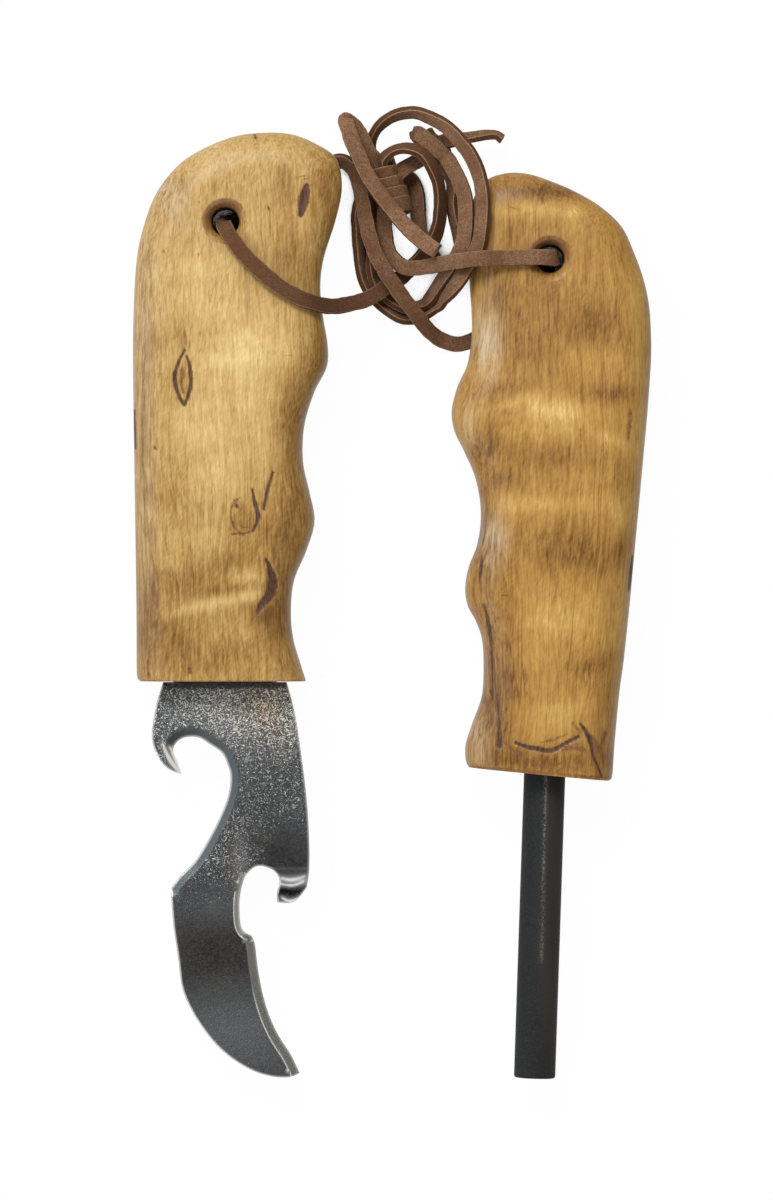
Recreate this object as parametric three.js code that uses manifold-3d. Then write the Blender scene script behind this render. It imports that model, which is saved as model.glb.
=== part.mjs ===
// Ferro rod fire starter: a striker tool and a ferro rod, each in a handle of curly birch, tied together
// with one flat leather lace. It lies on a table, seen from above as in the photograph: X to the right,
// Y up the picture, Z up from the table. All lengths are millimetres.
import * as THREE from "three";
import { mergeVertices } from "three/addons/utils/BufferGeometryUtils.js";
import Module from "manifold-3d";

const wasm = await Module();
wasm.setup();

// Handles: both are cut from one board, rounded over and thinned towards the head.
const handleThickness = 18;
const headThickness = 10;
const edgeInset = 7;
const edgeHeight = 7;
const thinningStartShare = 0.5;
const thinningEaseShare = 0.2;
const laceHoleDiameter = 5.3;
const countersinkDiameter = 9;
const countersinkDepth = 1.7;

const toolHandleLength = 106;
const toolHandleWidth = 37.5;
const toolHoleFromTop = 17.4;
const toolHoleOffset = 0.2;

const rodHandleLength = 116;
const rodHandleWidth = 37;
const rodHoleFromTop = 16.6;
const rodHoleOffset = -2.3;
const rodEndCutAngle = THREE.MathUtils.degToRad(-3.6);

// Ferro rod and the blind bore that holds it.
const rodDiameter = 8;
const rodLength = 80;
const rodInHandle = 21.3;
const rodChamfer = 0.5;

// Striker plate: its exposed part, and the tang inside the handle.
const plateThickness = 2.5;
const plateWidth = 30.4;
const plateLength = 76.5;
const tangWidth = 20;
const tangLength = 28;
const plateEdgeChamfer = 0.35;
const bladeBevelWidth = 1.6;
const bladeBevelDepth = 1.3;
const openerBevelWidth = 1.5;
const openerBevelDepth = 0.7;
const clawBendStart = 35.6;
const clawBendDrop = 1.9;
const clawBendRun = 3.4;

// Glue: the cured bedding round the tang and round the rod.
const beddingThickness = 0.4;
const fitGap = 0.2;
const beddingSetBack = 0.4;

// Leather lace.
const laceWidth = 3;
const laceThickness = 1.3;
const laceEdgeRound = 0.3;
const longKnotLength = 8.2;
const shortKnotLength = 6;
const longKnotWraps = 3;
const shortKnotWraps = 2;
const knotDiameter = 5;
const knotGrooveShare = 0.75;
const longKnotMiddle = new THREE.Vector3(0.1, 81.8, 4.8);
const longKnotAxis = new THREE.Vector3(0.53, -0.85, 0);
const shortKnotMiddle = new THREE.Vector3(7.9, 88.8, 4.6);
const shortKnotAxis = new THREE.Vector3(0.76, -0.65, 0);

// Where the two units lie: the middle of each handle's end face, and the lean of the rod unit.
const toolUnitX = -32.3;
const toolUnitY = -14.6;
const rodUnitX = 29.5;
const rodUnitY = -32.6;
const rodUnitLean = THREE.MathUtils.degToRad(-1.9);

// One overrun serves every cut.
const overrun = 2;
const roundSteps = 5;
const outlineSteps = 44;
const boreSides = 32;
const knotSides = 16;

const midHeight = handleThickness / 2;
const toolHoleFromEnd = toolHandleLength - toolHoleFromTop;
const rodHoleFromEnd = rodHandleLength - rodHoleFromTop;

// Materials
const birch = new THREE.MeshStandardMaterial({ color: 0xc99a52, roughness: 0.42, metalness: 0 });
const steel = new THREE.MeshStandardMaterial({ color: 0x8b8680, roughness: 0.35, metalness: 1 });
const ferro = new THREE.MeshStandardMaterial({ color: 0x2c3033, roughness: 0.5, metalness: 0.6 });
const glue = new THREE.MeshStandardMaterial({ color: 0x4a2f17, roughness: 0.3, metalness: 0 });
const suede = new THREE.MeshStandardMaterial({ color: 0x6a4630, roughness: 0.95, metalness: 0 });

// Solids: a geometry becomes a manifold for a cut or a join, and comes back as a geometry.
function toSolid(geometry) {
  const bare = geometry.clone();
  bare.deleteAttribute("normal");
  bare.deleteAttribute("uv");
  const merged = mergeVertices(bare, 1e-4);
  return new wasm.Manifold(
    new wasm.Mesh({
      numProp: 3,
      vertProperties: new Float32Array(merged.attributes.position.array),
      triVerts: new Uint32Array(merged.index.array),
    }),
  );
}

function toGeometry(solid) {
  const mesh = solid.getMesh();
  const geometry = new THREE.BufferGeometry();
  geometry.setAttribute("position", new THREE.BufferAttribute(mesh.vertProperties, 3));
  geometry.setIndex(new THREE.BufferAttribute(mesh.triVerts, 1));
  geometry.computeVertexNormals();
  return geometry;
}

function boxSolid(low, high) {
  const size = high.clone().sub(low);
  const middle = high.clone().add(low).multiplyScalar(0.5);
  const box = new THREE.BoxGeometry(size.x, size.y, size.z);
  return toSolid(box.translate(middle.x, middle.y, middle.z));
}

function gridGeometry(points, faces) {
  const geometry = new THREE.BufferGeometry();
  geometry.setAttribute("position", new THREE.Float32BufferAttribute(points.flat(), 3));
  geometry.setIndex(faces.flat());
  return geometry;
}

// Handle outlines, from the right end corner up over the head and down to the left end corner, as
// shares of the handle's width (from its centre line) and of its length (from its end face).
const toolOutlineShares = [
  [0.418, 0], [0.392, 0.029], [0.352, 0.078], [0.34, 0.129], [0.357, 0.184], [0.42, 0.238],
  [0.462, 0.292], [0.436, 0.345], [0.403, 0.4], [0.409, 0.465], [0.461, 0.527], [0.524, 0.572],
  [0.53, 0.612], [0.506, 0.665], [0.492, 0.72], [0.51, 0.772], [0.57, 0.84], [0.603, 0.9],
  [0.575, 0.951], [0.469, 0.979], [0.33, 0.997], [0.153, 0.998], [0.01, 0.988], [-0.147, 0.963],
  [-0.247, 0.937], [-0.345, 0.893], [-0.407, 0.84], [-0.453, 0.767], [-0.471, 0.64],
  [-0.469, 0.49], [-0.464, 0.379], [-0.459, 0.257], [-0.454, 0.13], [-0.452, 0],
];
const rodOutlineShares = [
  [0.352, 0], [0.359, 0.067], [0.374, 0.144], [0.392, 0.202], [0.414, 0.298], [0.424, 0.353],
  [0.446, 0.468], [0.461, 0.548], [0.473, 0.615], [0.482, 0.695], [0.478, 0.74], [0.463, 0.787],
  [0.43, 0.83], [0.375, 0.874], [0.308, 0.915], [0.201, 0.946], [0.073, 0.969], [-0.059, 0.986],
  [-0.19, 0.998], [-0.306, 0.998], [-0.41, 0.985], [-0.465, 0.959], [-0.49, 0.92], [-0.491, 0.87],
  [-0.478, 0.815], [-0.462, 0.765], [-0.457, 0.72], [-0.475, 0.675], [-0.522, 0.637],
  [-0.548, 0.596], [-0.53, 0.562], [-0.478, 0.53], [-0.418, 0.49], [-0.385, 0.448],
  [-0.378, 0.408], [-0.395, 0.37], [-0.432, 0.335], [-0.447, 0.299], [-0.43, 0.27],
  [-0.385, 0.245], [-0.35, 0.215], [-0.337, 0.17], [-0.342, 0.12], [-0.385, 0.075],
  [-0.416, 0.04], [-0.405, 0],
];

// How much of the full thickness is left at a share of the length: all of it up to the start, then
// a ramp with an eased beginning down to the head's thickness.
function thicknessShare(lengthShare) {
  const ramp = (u) => {
    if (u <= 0) return 0;
    return u < thinningEaseShare ? (u * u) / (2 * thinningEaseShare) : u - thinningEaseShare / 2;
  };
  const along = (lengthShare - thinningStartShare) / (1 - thinningStartShare);
  return 1 - (1 - headThickness / handleThickness) * (ramp(along) / ramp(1));
}

// Half the handle's thickness at a distance from its end face.
const halfThicknessAt = (fromEnd, length) => (handleThickness / 2) * thicknessShare(fromEnd / length);

// A handle blank: the outline is drawn in step by step towards both faces, which rounds its edges, and
// the end face stays flat. A tilted end cut slants the end face and fades out towards the head.
function handleBlank(outlineShares, width, length, endCutAngle) {
  const controls = outlineShares.map(([x, y]) => new THREE.Vector2(x * width, y * length));
  const outline = new THREE.SplineCurve(controls);
  const sides = 2 * outlineSteps;
  const edge = [];
  for (let i = 0; i <= sides; i++) {
    const along = i / sides;
    const tangent = outline.getTangentAt(along);
    if (i === 0 || i === sides) tangent.set(0, Math.sign(tangent.y));
    edge.push({ point: outline.getPointAt(along), inward: new THREE.Vector2(-tangent.y, tangent.x) });
  }
  edge[0].point.y = 0;
  edge[sides].point.y = 0;
  const levels = [];
  for (let k = 0; k <= roundSteps; k++) {
    const angle = (Math.PI / 2) * (1 - k / roundSteps);
    levels.push([edgeInset * (1 - Math.cos(angle)), edgeHeight * (1 - Math.sin(angle))]);
  }
  const upper = levels.map(([inset, height]) => [inset, handleThickness - height]).reverse();
  const rings = [...levels, ...upper];
  const points = [];
  for (const [inset, height] of rings) {
    for (const { point, inward } of edge) {
      const x = point.x + inward.x * inset;
      const y = Math.max(0, point.y + inward.y * inset);
      const z = midHeight + (height - midHeight) * thicknessShare(y / length);
      points.push([x, y + x * Math.tan(endCutAngle) * (1 - y / length), z]);
    }
  }
  const row = sides + 1;
  const faces = [];
  const quad = (a, b, c, d) => faces.push([a, b, c], [a, c, d]);
  for (let k = 0; k < rings.length - 1; k++) {
    for (let i = 0; i < sides; i++) {
      quad(k * row + i, k * row + i + 1, (k + 1) * row + i + 1, (k + 1) * row + i);
    }
    quad(k * row + sides, k * row, (k + 1) * row, (k + 1) * row + sides);
  }
  const top = (rings.length - 1) * row;
  for (let i = 0; i < outlineSteps; i++) {
    const right = i;
    const left = sides - i;
    if (i === outlineSteps - 1) {
      faces.push([right, left, right + 1], [top + right, top + right + 1, top + left]);
    } else {
      quad(right, left, left - 1, right + 1);
      quad(top + right, top + right + 1, top + left - 1, top + left);
    }
  }
  return toSolid(gridGeometry(points, faces));
}

// The cutter for a lace hole: a bore with a rounded countersink at each face.
function laceHoleCutter(x, fromEnd, length) {
  const half = halfThicknessAt(fromEnd, length);
  const bore = laceHoleDiameter / 2;
  const mouth = countersinkDiameter / 2;
  const flare = [];
  const flareSteps = 4;
  for (let k = 0; k <= flareSteps; k++) {
    const angle = ((Math.PI / 2) * k) / flareSteps;
    const radius = mouth - (mouth - bore) * Math.sin(angle);
    flare.push([radius, half - countersinkDepth * (1 - Math.cos(angle))]);
  }
  const lower = flare.map(([radius, height]) => new THREE.Vector2(radius, -height));
  const upper = flare.map(([radius, height]) => new THREE.Vector2(radius, height)).reverse();
  const profile = [
    new THREE.Vector2(0, -half - overrun),
    new THREE.Vector2(mouth, -half - overrun),
    ...lower,
    ...upper,
    new THREE.Vector2(mouth, half + overrun),
    new THREE.Vector2(0, half + overrun),
  ];
  const cutter = new THREE.LatheGeometry(profile, boreSides).rotateX(Math.PI / 2);
  return toSolid(cutter.translate(x, fromEnd, midHeight));
}

// A bar that runs along Y with a rectangular section, for the tang's slot and its bedding.
function slotBar(spare, deep, from) {
  const half = new THREE.Vector3(tangWidth / 2 + spare, 0, plateThickness / 2 + spare);
  const low = new THREE.Vector3(-half.x, from, midHeight - half.z);
  return boxSolid(low, new THREE.Vector3(half.x, tangLength + deep, midHeight + half.z));
}

// A round bar along Y for the rod's bore and its bedding.
function roundBar(radius, from, to) {
  const bar = new THREE.CylinderGeometry(radius, radius, to - from, boreSides);
  return toSolid(bar.translate(0, (from + to) / 2, midHeight));
}

const beddingOuter = fitGap + beddingThickness;
const slotSpare = beddingOuter + fitGap;

function toolHandle() {
  const blank = handleBlank(toolOutlineShares, toolHandleWidth, toolHandleLength, 0);
  const slot = slotBar(slotSpare, slotSpare, -overrun);
  const hole = laceHoleCutter(toolHoleOffset, toolHoleFromEnd, toolHandleLength);
  return toGeometry(blank.subtract(slot).subtract(hole));
}

function tangBedding() {
  const outer = slotBar(beddingOuter, beddingOuter, beddingSetBack);
  return toGeometry(outer.subtract(slotBar(fitGap, fitGap, -overrun)));
}

function rodHandle() {
  const blank = handleBlank(rodOutlineShares, rodHandleWidth, rodHandleLength, rodEndCutAngle);
  const radius = rodDiameter / 2 + slotSpare;
  const bore = roundBar(radius, -rodDiameter, rodInHandle + slotSpare);
  const hole = laceHoleCutter(rodHoleOffset, rodHoleFromEnd, rodHandleLength);
  return toGeometry(blank.subtract(bore).subtract(hole));
}

function rodBedding() {
  const outer = roundBar(rodDiameter / 2 + beddingOuter, beddingSetBack, rodInHandle + beddingOuter);
  const inner = roundBar(rodDiameter / 2 + fitGap, -rodDiameter, rodInHandle + fitGap);
  return toGeometry(outer.subtract(inner));
}

function ferroRod() {
  const radius = rodDiameter / 2;
  const profile = [
    new THREE.Vector2(0, 0),
    new THREE.Vector2(radius - rodChamfer, 0),
    new THREE.Vector2(radius, rodChamfer),
    new THREE.Vector2(radius, rodLength - rodChamfer),
    new THREE.Vector2(radius - rodChamfer, rodLength),
    new THREE.Vector2(0, rodLength),
  ];
  const rod = new THREE.LatheGeometry(profile, boreSides);
  return rod.translate(0, rodInHandle - rodLength, midHeight);
}

// Striker plate outline below the handle, clockwise from the right shoulder, in stretches that meet at
// sharp corners: shares of the plate's width (from the centre line) and length (from its shoulder).
const rightEdgeShares = [[0.392, 0], [0.43, 0.053], [0.467, 0.131], [0.518, 0.288], [0.536, 0.4],
  [0.536, 0.475], [0.521, 0.52]];
const clawOuterShares = [[0.521, 0.52], [0.458, 0.551], [0.407, 0.56], [0.334, 0.558]];
const clawInnerShares = [[0.334, 0.558], [0.33, 0.538], [0.343, 0.515], [0.341, 0.493],
  [0.299, 0.474], [0.222, 0.465], [0.165, 0.475], [0.121, 0.5], [0.095, 0.546], [0.094, 0.594],
  [0.104, 0.62], [0.127, 0.634], [0.165, 0.642]];
const bladeShares = [[0.165, 0.642], [0.189, 0.662], [0.21, 0.727], [0.242, 0.793], [0.286, 0.849],
  [0.343, 0.897], [0.42, 0.945], [0.474, 0.99]];
const noseShares = [[0.474, 0.99], [0.407, 1], [0.299, 0.998], [0.176, 0.983], [0.044, 0.952],
  [-0.067, 0.912], [-0.159, 0.864], [-0.229, 0.816], [-0.273, 0.768], [-0.295, 0.7],
  [-0.327, 0.611], [-0.343, 0.522]];
const openerShares = [[-0.343, 0.522], [-0.28, 0.49], [-0.184, 0.45], [-0.095, 0.392],
  [-0.019, 0.331], [0.024, 0.283], [0.036, 0.239], [0.019, 0.21], [-0.019, 0.179],
  [-0.095, 0.157], [-0.159, 0.141], [-0.222, 0.138], [-0.28, 0.144], [-0.321, 0.16],
  [-0.328, 0.177], [-0.307, 0.198], [-0.277, 0.232]];
const hookShares = [[-0.277, 0.232], [-0.356, 0.22], [-0.41, 0.198], [-0.451, 0.164],
  [-0.464, 0.131], [-0.451, 0.091], [-0.428, 0.045], [-0.391, 0]];

// Where the claw's strip lies across and along the plate, and how it bends: [share of the run along the
// plate, share of the drop].
const clawLeftShare = 0.222;
const clawRightShare = 0.56;
const clawEndShare = 0.575;
const clawBendShares = [[0, 0], [0.25, 0.15], [0.75, 0.85], [1, 1]];

// A stretch of the plate's edge as points on a smooth curve.
function plateStretch(shares, steps) {
  const controls = shares.map(
    ([x, y]) => new THREE.Vector2(x * plateWidth, -fitGap - y * (plateLength - fitGap)),
  );
  return new THREE.SplineCurve(controls).getPoints(steps);
}

function plateOutline() {
  const stretches = [
    plateStretch(rightEdgeShares, 9),
    plateStretch(clawOuterShares, 5),
    plateStretch(clawInnerShares, 18),
    plateStretch(bladeShares, 12),
    plateStretch(noseShares, 16),
    plateStretch(openerShares, 26),
    plateStretch(hookShares, 11),
  ];
  const tang = [
    new THREE.Vector2(-tangWidth / 2, -fitGap),
    new THREE.Vector2(-tangWidth / 2, tangLength),
    new THREE.Vector2(tangWidth / 2, tangLength),
    new THREE.Vector2(tangWidth / 2, -fitGap),
  ];
  return [...stretches.flatMap((points) => points.slice(0, -1)), stretches.at(-1).at(-1), ...tang];
}

// A ground bevel: a strip with a wedge section that follows an edge of the plate, with the metal on
// the right of the way it runs.
function bevelCutter(points, width, depth) {
  const top = midHeight + plateThickness / 2;
  const section = [
    [-width * 2, top + depth],
    [width, top - depth * 2],
    [width, top + overrun],
    [-width * 2, top + overrun],
  ];
  const rings = points.map((point, i) => {
    const before = points[Math.max(0, i - 1)];
    const after = points[Math.min(points.length - 1, i + 1)];
    const heading = after.clone().sub(before).normalize();
    const spill = i === 0 ? -overrun / 4 : i === points.length - 1 ? overrun / 4 : 0;
    return section.map(([out, z]) => [
      point.x - heading.y * out + heading.x * spill,
      point.y + heading.x * out + heading.y * spill,
      z,
    ]);
  });
  return toSolid(sweptSection(rings));
}

// Joins rings of equal length into one closed body.
function sweptSection(rings) {
  const sides = rings[0].length;
  const faces = [];
  for (let r = 0; r < rings.length - 1; r++) {
    for (let s = 0; s < sides; s++) {
      const a = r * sides + s;
      const b = r * sides + ((s + 1) % sides);
      faces.push([a, b, b + sides], [a, b + sides, a + sides]);
    }
  }
  const last = (rings.length - 1) * sides;
  for (let s = 1; s < sides - 1; s++) {
    faces.push([0, s + 1, s], [last, last + s, last + s + 1]);
  }
  return gridGeometry(rings.flat(), faces);
}

function strikerPlate() {
  const shape = new THREE.Shape(plateOutline());
  const flat = new THREE.ExtrudeGeometry(shape, {
    depth: plateThickness - 2 * plateEdgeChamfer,
    bevelEnabled: true,
    bevelSize: plateEdgeChamfer,
    bevelOffset: -plateEdgeChamfer,
    bevelThickness: plateEdgeChamfer,
    bevelSegments: 1,
  });
  flat.translate(0, 0, midHeight - plateThickness / 2 + plateEdgeChamfer);
  let plate = toSolid(flat);
  // The claw is bent down out of the plate: its stretch of the plate is taken off and put back as a
  // bent strip of the same outline.
  const clawLeft = plateWidth * clawLeftShare;
  const clawRight = plateWidth * clawRightShare;
  const clawEnd = plateLength * clawEndShare;
  const low = new THREE.Vector3(clawLeft, -clawEnd, midHeight - handleThickness);
  const high = new THREE.Vector3(clawRight, -clawBendStart, midHeight + handleThickness);
  plate = plate.subtract(boxSolid(low, high));
  const half = plateThickness / 2;
  const bend = clawBendShares.map(([run, drop]) => [
    -clawBendStart - run * clawBendRun,
    drop * clawBendDrop,
  ]);
  bend.push([-clawEnd, clawBendDrop]);
  const section = [
    ...bend.map(([y, drop]) => [y, midHeight - drop + half]),
    ...bend.map(([y, drop]) => [y, midHeight - drop - half]).reverse(),
  ];
  const ends = [clawLeft, clawRight].map((x) => section.map(([y, z]) => [x, y, z]));
  const strip = toSolid(sweptSection(ends));
  const tall = new THREE.ExtrudeGeometry(shape, { depth: handleThickness, bevelEnabled: false });
  const claw = strip.intersect(toSolid(tall));
  plate = plate.add(claw);
  const blade = plateStretch(bladeShares, 12);
  plate = plate.subtract(bevelCutter(blade, bladeBevelWidth, bladeBevelDepth));
  const opener = plateStretch(openerShares, 26);
  plate = plate.subtract(bevelCutter(opener, openerBevelWidth, openerBevelDepth));
  return toGeometry(plate);
}

// Lace routes, each a list of [x, y, z, tilt in degrees] along the middle of the lace.
const backRoute = [
  [-32.1, 74, 8.2, 0], [-31.9, 74.1, 4.2, 0], [-30.9, 74.6, 1.7, 0], [-28.8, 75.8, 1.1, 0],
  [-25.1, 78, 1.05, 0], [-20.7, 80.6, 1.05, 0], [-16.2, 83.3, 1.05, 0], [-10, 86.3, 1.3, 0],
  [-8.1, 85.3, 2.3, -10], [-6.8, 83.2, 3.6, -15], [-6, 80.3, 4.9, -15], [-4.9, 74.1, 6.6, -10],
  [-4.1, 70.6, 7, -8], [-2.8, 67.3, 7.3, -5], [0.6, 61.7, 7.3, 0], [3.9, 57.3, 6.5, 0],
  [7.5, 53, 3.6, 0], [9.9, 51.5, 1.8, 0], [12.2, 50.8, 1.15, 0], [14.5, 51.1, 1.05, 0],
  [17.2, 52.5, 1.05, 0], [20.5, 55.4, 1.05, 0], [24, 59.2, 1.05, 0], [27.1, 62.7, 1.1, 0],
  [29.3, 65.2, 1.7, 0], [30.3, 66.5, 4.2, 0], [30.5, 66.9, 8.2, 0],
];
const toolStrandRoute = [
  [-32.1, 74, 9.4, 0], [-32, 73.8, 13.2, 0], [-31.3, 72.9, 16, 0], [-29.8, 70.6, 16.9, 0],
  [-27.4, 67.5, 17, 0], [-24.3, 64.1, 17.2, 0], [-21.1, 61, 17.7, 0], [-18, 59.2, 17.6, 5],
  [-15.5, 58.3, 16.5, 15], [-12.6, 57.7, 13.5, 15], [-10, 57.9, 10, 10], [-7.1, 58.6, 7.6, 5],
  [-4.3, 59.6, 5.9, 0], [-1.5, 61.4, 4.9, 0], [3.1, 64.8, 4.2, -15], [7.3, 69.6, 4.8, -35],
  [8.7, 72.6, 5.3, -45], [9.3, 76, 5.8, -50], [9.3, 79.3, 6.4, -55], [8.7, 82.5, 7.3, -55],
  [6.2, 87.1, 9, -50], [4.3, 88.1, 9, -55], [2.3, 88.4, 8.4, -60], [0.2, 87.9, 7.6, -65],
  [-1.8, 86.2, 6.7, -60],
];
const rodStrandRoute = [
  [30.5, 66.9, 9.4, 0], [30.3, 66.9, 13.2, 0], [29.6, 66.9, 15.7, 0], [27.8, 67.1, 16.5, 0],
  [22.6, 66.9, 16.7, 0], [18.2, 66.7, 18, 0], [16.4, 66.6, 18.1, 0], [14.8, 66.5, 17.8, 0],
  [13.3, 66.3, 17.4, 0], [11.6, 66.1, 16.1, 0], [9.9, 65.9, 13.9, 0], [7.9, 65.6, 10.9, 0],
  [3.7, 65.5, 7.5, 10], [1.7, 66.1, 6.6, 20], [-1.3, 68.9, 4.9, 35], [-2.1, 70.9, 4.3, 35],
  [-2.5, 73.2, 4.2, 30], [-2.3, 75.6, 4.3, 20], [-1.2, 77.9, 4.4, 10],
];
const outerTurnRoute = [
  [-2.6, 85.4, 2.6, 0], [-4.1, 88.2, 2.3, -60], [-4, 90.1, 2.8, -70], [-3.1, 92.1, 4, -70],
  [-1.5, 93.7, 5.2, -65], [0.5, 94.8, 6.3, -62], [2.7, 95.3, 7.4, -60], [5, 95.2, 8.6, -58],
  [9.7, 92.9, 11, -48], [11.8, 91.1, 12.3, -42], [15.1, 86.7, 14.4, -30], [17.1, 81.6, 15.3, -18],
  [17.5, 75.8, 15.3, -12], [16.8, 70.1, 15.2, -16], [15.8, 67.5, 15.4, -20], [14.6, 65.4, 15, -28],
  [13.4, 63.4, 14.9, -33], [12.1, 61.4, 13.5, -44], [10.3, 59.6, 8.7, -62], [8.7, 58, 3.7, -70],
  [5.2, 55.9, 2.1, -75], [3.4, 55.6, 1.95, -78], [1.5, 55.9, 1.95, -80], [-3.3, 59.5, 1.95, -80],
  [-5.4, 62.9, 1.95, -80], [-6.3, 67.9, 1.95, -80], [-6.7, 73.3, 1.95, -80], [-6.8, 76, 1.9, -70],
  [-5.8, 80.4, 1.2, -15], [-4.5, 82, 1.05, 0], [-2.8, 83, 1.05, 0], [1.4, 83.4, 1.05, 0],
  [3.2, 83, 1.1, -10], [4.3, 81.7, 1.5, -25], [4.9, 79.7, 1.6, -30], [5.2, 74.7, 1.3, -15],
  [5.7, 72.2, 1.15, 0], [8, 67.6, 1.4, 25], [9.8, 66.1, 1.9, 50], [11.6, 65.8, 2.4, 65],
  [12.9, 67.2, 2.6, 65], [13.3, 69.3, 2.5, 60], [12.9, 71.8, 3, 60], [11.7, 77.2, 4.5, 60],
  [11.6, 82.3, 4.5, 55], [10.1, 85.6, 4.2, 20],
];
const innerTurnRoute = [
  [10.6, 86.5, 6.2, -5], [12.2, 83.7, 9, -15], [14, 79.1, 12.4, -20], [14.2, 76.4, 13.7, -20],
  [14.1, 73.5, 14.1, -22], [13.6, 70.6, 14.1, -28], [12.6, 67.9, 14.1, -34],
  [11.2, 65.4, 12.9, -46], [10, 63.4, 10.2, -56], [8.7, 61.5, 7, -64], [7.4, 59.7, 3.9, -70],
  [6.1, 58.4, 2.6, -75], [4.3, 57.8, 2.1, -78], [2.6, 57.8, 1.95, -80], [-0.7, 59.6, 1.95, -80],
  [-3.1, 62.4, 1.95, -80], [-3.8, 64.5, 1.95, -80], [-4.7, 70.1, 1.95, -75],
  [-4.3, 75.2, 1.9, -40], [-3.3, 77.1, 1.9, -20], [-2, 78.6, 2.3, 0],
];
const linkRoute = [
  [2, 84.4, 5.4, 0], [5.6, 86.5, 5.1, 0],
];
const longTailRoute = [
  [-3.4, 84.8, 4.6, 0], [-5.4, 88.7, 5, 0], [-6.9, 92.6, 5.3, 0], [-7.5, 93.9, 5.9, 0],
  [-7.9, 94.6, 7.1, 0], [-8.1, 94.3, 8.3, 0], [-7.9, 93.3, 9, 0], [-6.6, 88.7, 9.1, 0],
  [-4.3, 83.2, 9.2, 0], [-0.9, 77.6, 9.6, 0], [3.2, 72.7, 10.6, 0], [5.4, 70.7, 12, 0],
  [8.9, 68.4, 14, 0],
];
const shortTailRoute = [
  [11.3, 90.1, 6.2, 20], [13.9, 90.5, 6, 45], [20.1, 91.2, 4.6, 60], [21.4, 90.4, 4.4, 55],
];

// The lace's flat section carried along a route, with the given number of rings from one point of the
// route to the next. A tilt lifts the edge that is on the right of the way the lace runs.
function laceRings(route, ringsPerPoint) {
  const half = laceWidth / 2;
  const flatHalf = half - laceEdgeRound;
  const thick = laceThickness / 2;
  const thin = thick - laceEdgeRound;
  const section = [
    [half, thin], [half, -thin], [flatHalf, -thick], [-flatHalf, -thick],
    [-half, -thin], [-half, thin], [-flatHalf, thick], [flatHalf, thick],
  ];
  const up = new THREE.Vector3(0, 0, 1);
  const places = route.map(([x, y, z]) => new THREE.Vector3(x, y, z));
  const curve = new THREE.CatmullRomCurve3(places, false, "centripetal");
  const last = route.length - 1;
  const rings = [];
  for (let k = 0; k <= last * ringsPerPoint; k++) {
    const at = k / ringsPerPoint;
    const before = Math.min(Math.floor(at), last - 1);
    const tilt = THREE.MathUtils.lerp(route[before][3], route[before + 1][3], at - before);
    const centre = curve.getPoint(at / last);
    const heading = curve.getTangent(at / last);
    const across = heading.clone().cross(up).normalize();
    across.applyAxisAngle(heading, -THREE.MathUtils.degToRad(tilt));
    const through = across.clone().cross(heading);
    rings.push(
      section.map(([a, b]) =>
        centre.clone().addScaledVector(across, a).addScaledVector(through, b).toArray(),
      ),
    );
  }
  return rings;
}

function laceStretch(route) {
  return sweptSection(laceRings(route, 1));
}

// Prints how near a turn of the lace comes to itself, measured on points along the edges of its
// section. Points that lie within a few widths of each other along the lace don't count.
function printLeastGap(name, route) {
  const rings = laceRings(route, 6).map((ring) => ring.map((corner) => new THREE.Vector3(...corner)));
  const along = [0];
  for (let k = 1; k < rings.length; k++) {
    along.push(along[k - 1] + rings[k][0].distanceTo(rings[k - 1][0]));
  }
  let least = Infinity;
  for (let k = 0; k < rings.length; k++) {
    for (let m = k + 1; m < rings.length; m++) {
      if (along[m] - along[k] < 3 * laceWidth) continue;
      for (const here of rings[k]) {
        for (const there of rings[m]) least = Math.min(least, here.distanceTo(there));
      }
    }
  }
  console.log(`${name}: least gap to itself ${least.toFixed(2)} mm`);
}

// A knot: the lace wrapped round itself, as a body with a bulge for each wrap.
function knot(length, wraps, middle, axis) {
  const full = knotDiameter / 2;
  const groove = full * knotGrooveShare;
  const stepsPerWrap = 4;
  const steps = wraps * stepsPerWrap;
  const profile = [new THREE.Vector2(0, -length / 2)];
  for (let i = 0; i <= steps; i++) {
    const bulge = Math.abs(Math.sin((Math.PI * i) / stepsPerWrap));
    profile.push(new THREE.Vector2(groove + (full - groove) * bulge, length * (i / steps - 0.5)));
  }
  profile.push(new THREE.Vector2(0, length / 2));
  const body = new THREE.LatheGeometry(profile, knotSides);
  const latheAxis = new THREE.Vector3(0, 1, 0);
  const turn = new THREE.Quaternion().setFromUnitVectors(latheAxis, axis.clone().normalize());
  return body.applyQuaternion(turn).translate(middle.x, middle.y, middle.z);
}

const object = new THREE.Group();

function addPiece(group, name, geometry, material) {
  const mesh = new THREE.Mesh(geometry, material);
  mesh.name = name;
  group.add(mesh);
  return mesh;
}

// Striker unit
const toolUnit = new THREE.Group();
toolUnit.position.set(toolUnitX, toolUnitY, 0);
addPiece(toolUnit, "tool_handle", toolHandle(), birch);
addPiece(toolUnit, "striker_plate", strikerPlate(), steel);
addPiece(toolUnit, "tang_bedding", tangBedding(), glue);
object.add(toolUnit);

// Fire rod unit
const rodUnit = new THREE.Group();
rodUnit.position.set(rodUnitX, rodUnitY, 0);
rodUnit.rotation.z = rodUnitLean;
addPiece(rodUnit, "rod_handle", rodHandle(), birch);
addPiece(rodUnit, "ferro_rod", ferroRod(), ferro);
addPiece(rodUnit, "rod_bedding", rodBedding(), glue);
object.add(rodUnit);

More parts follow.
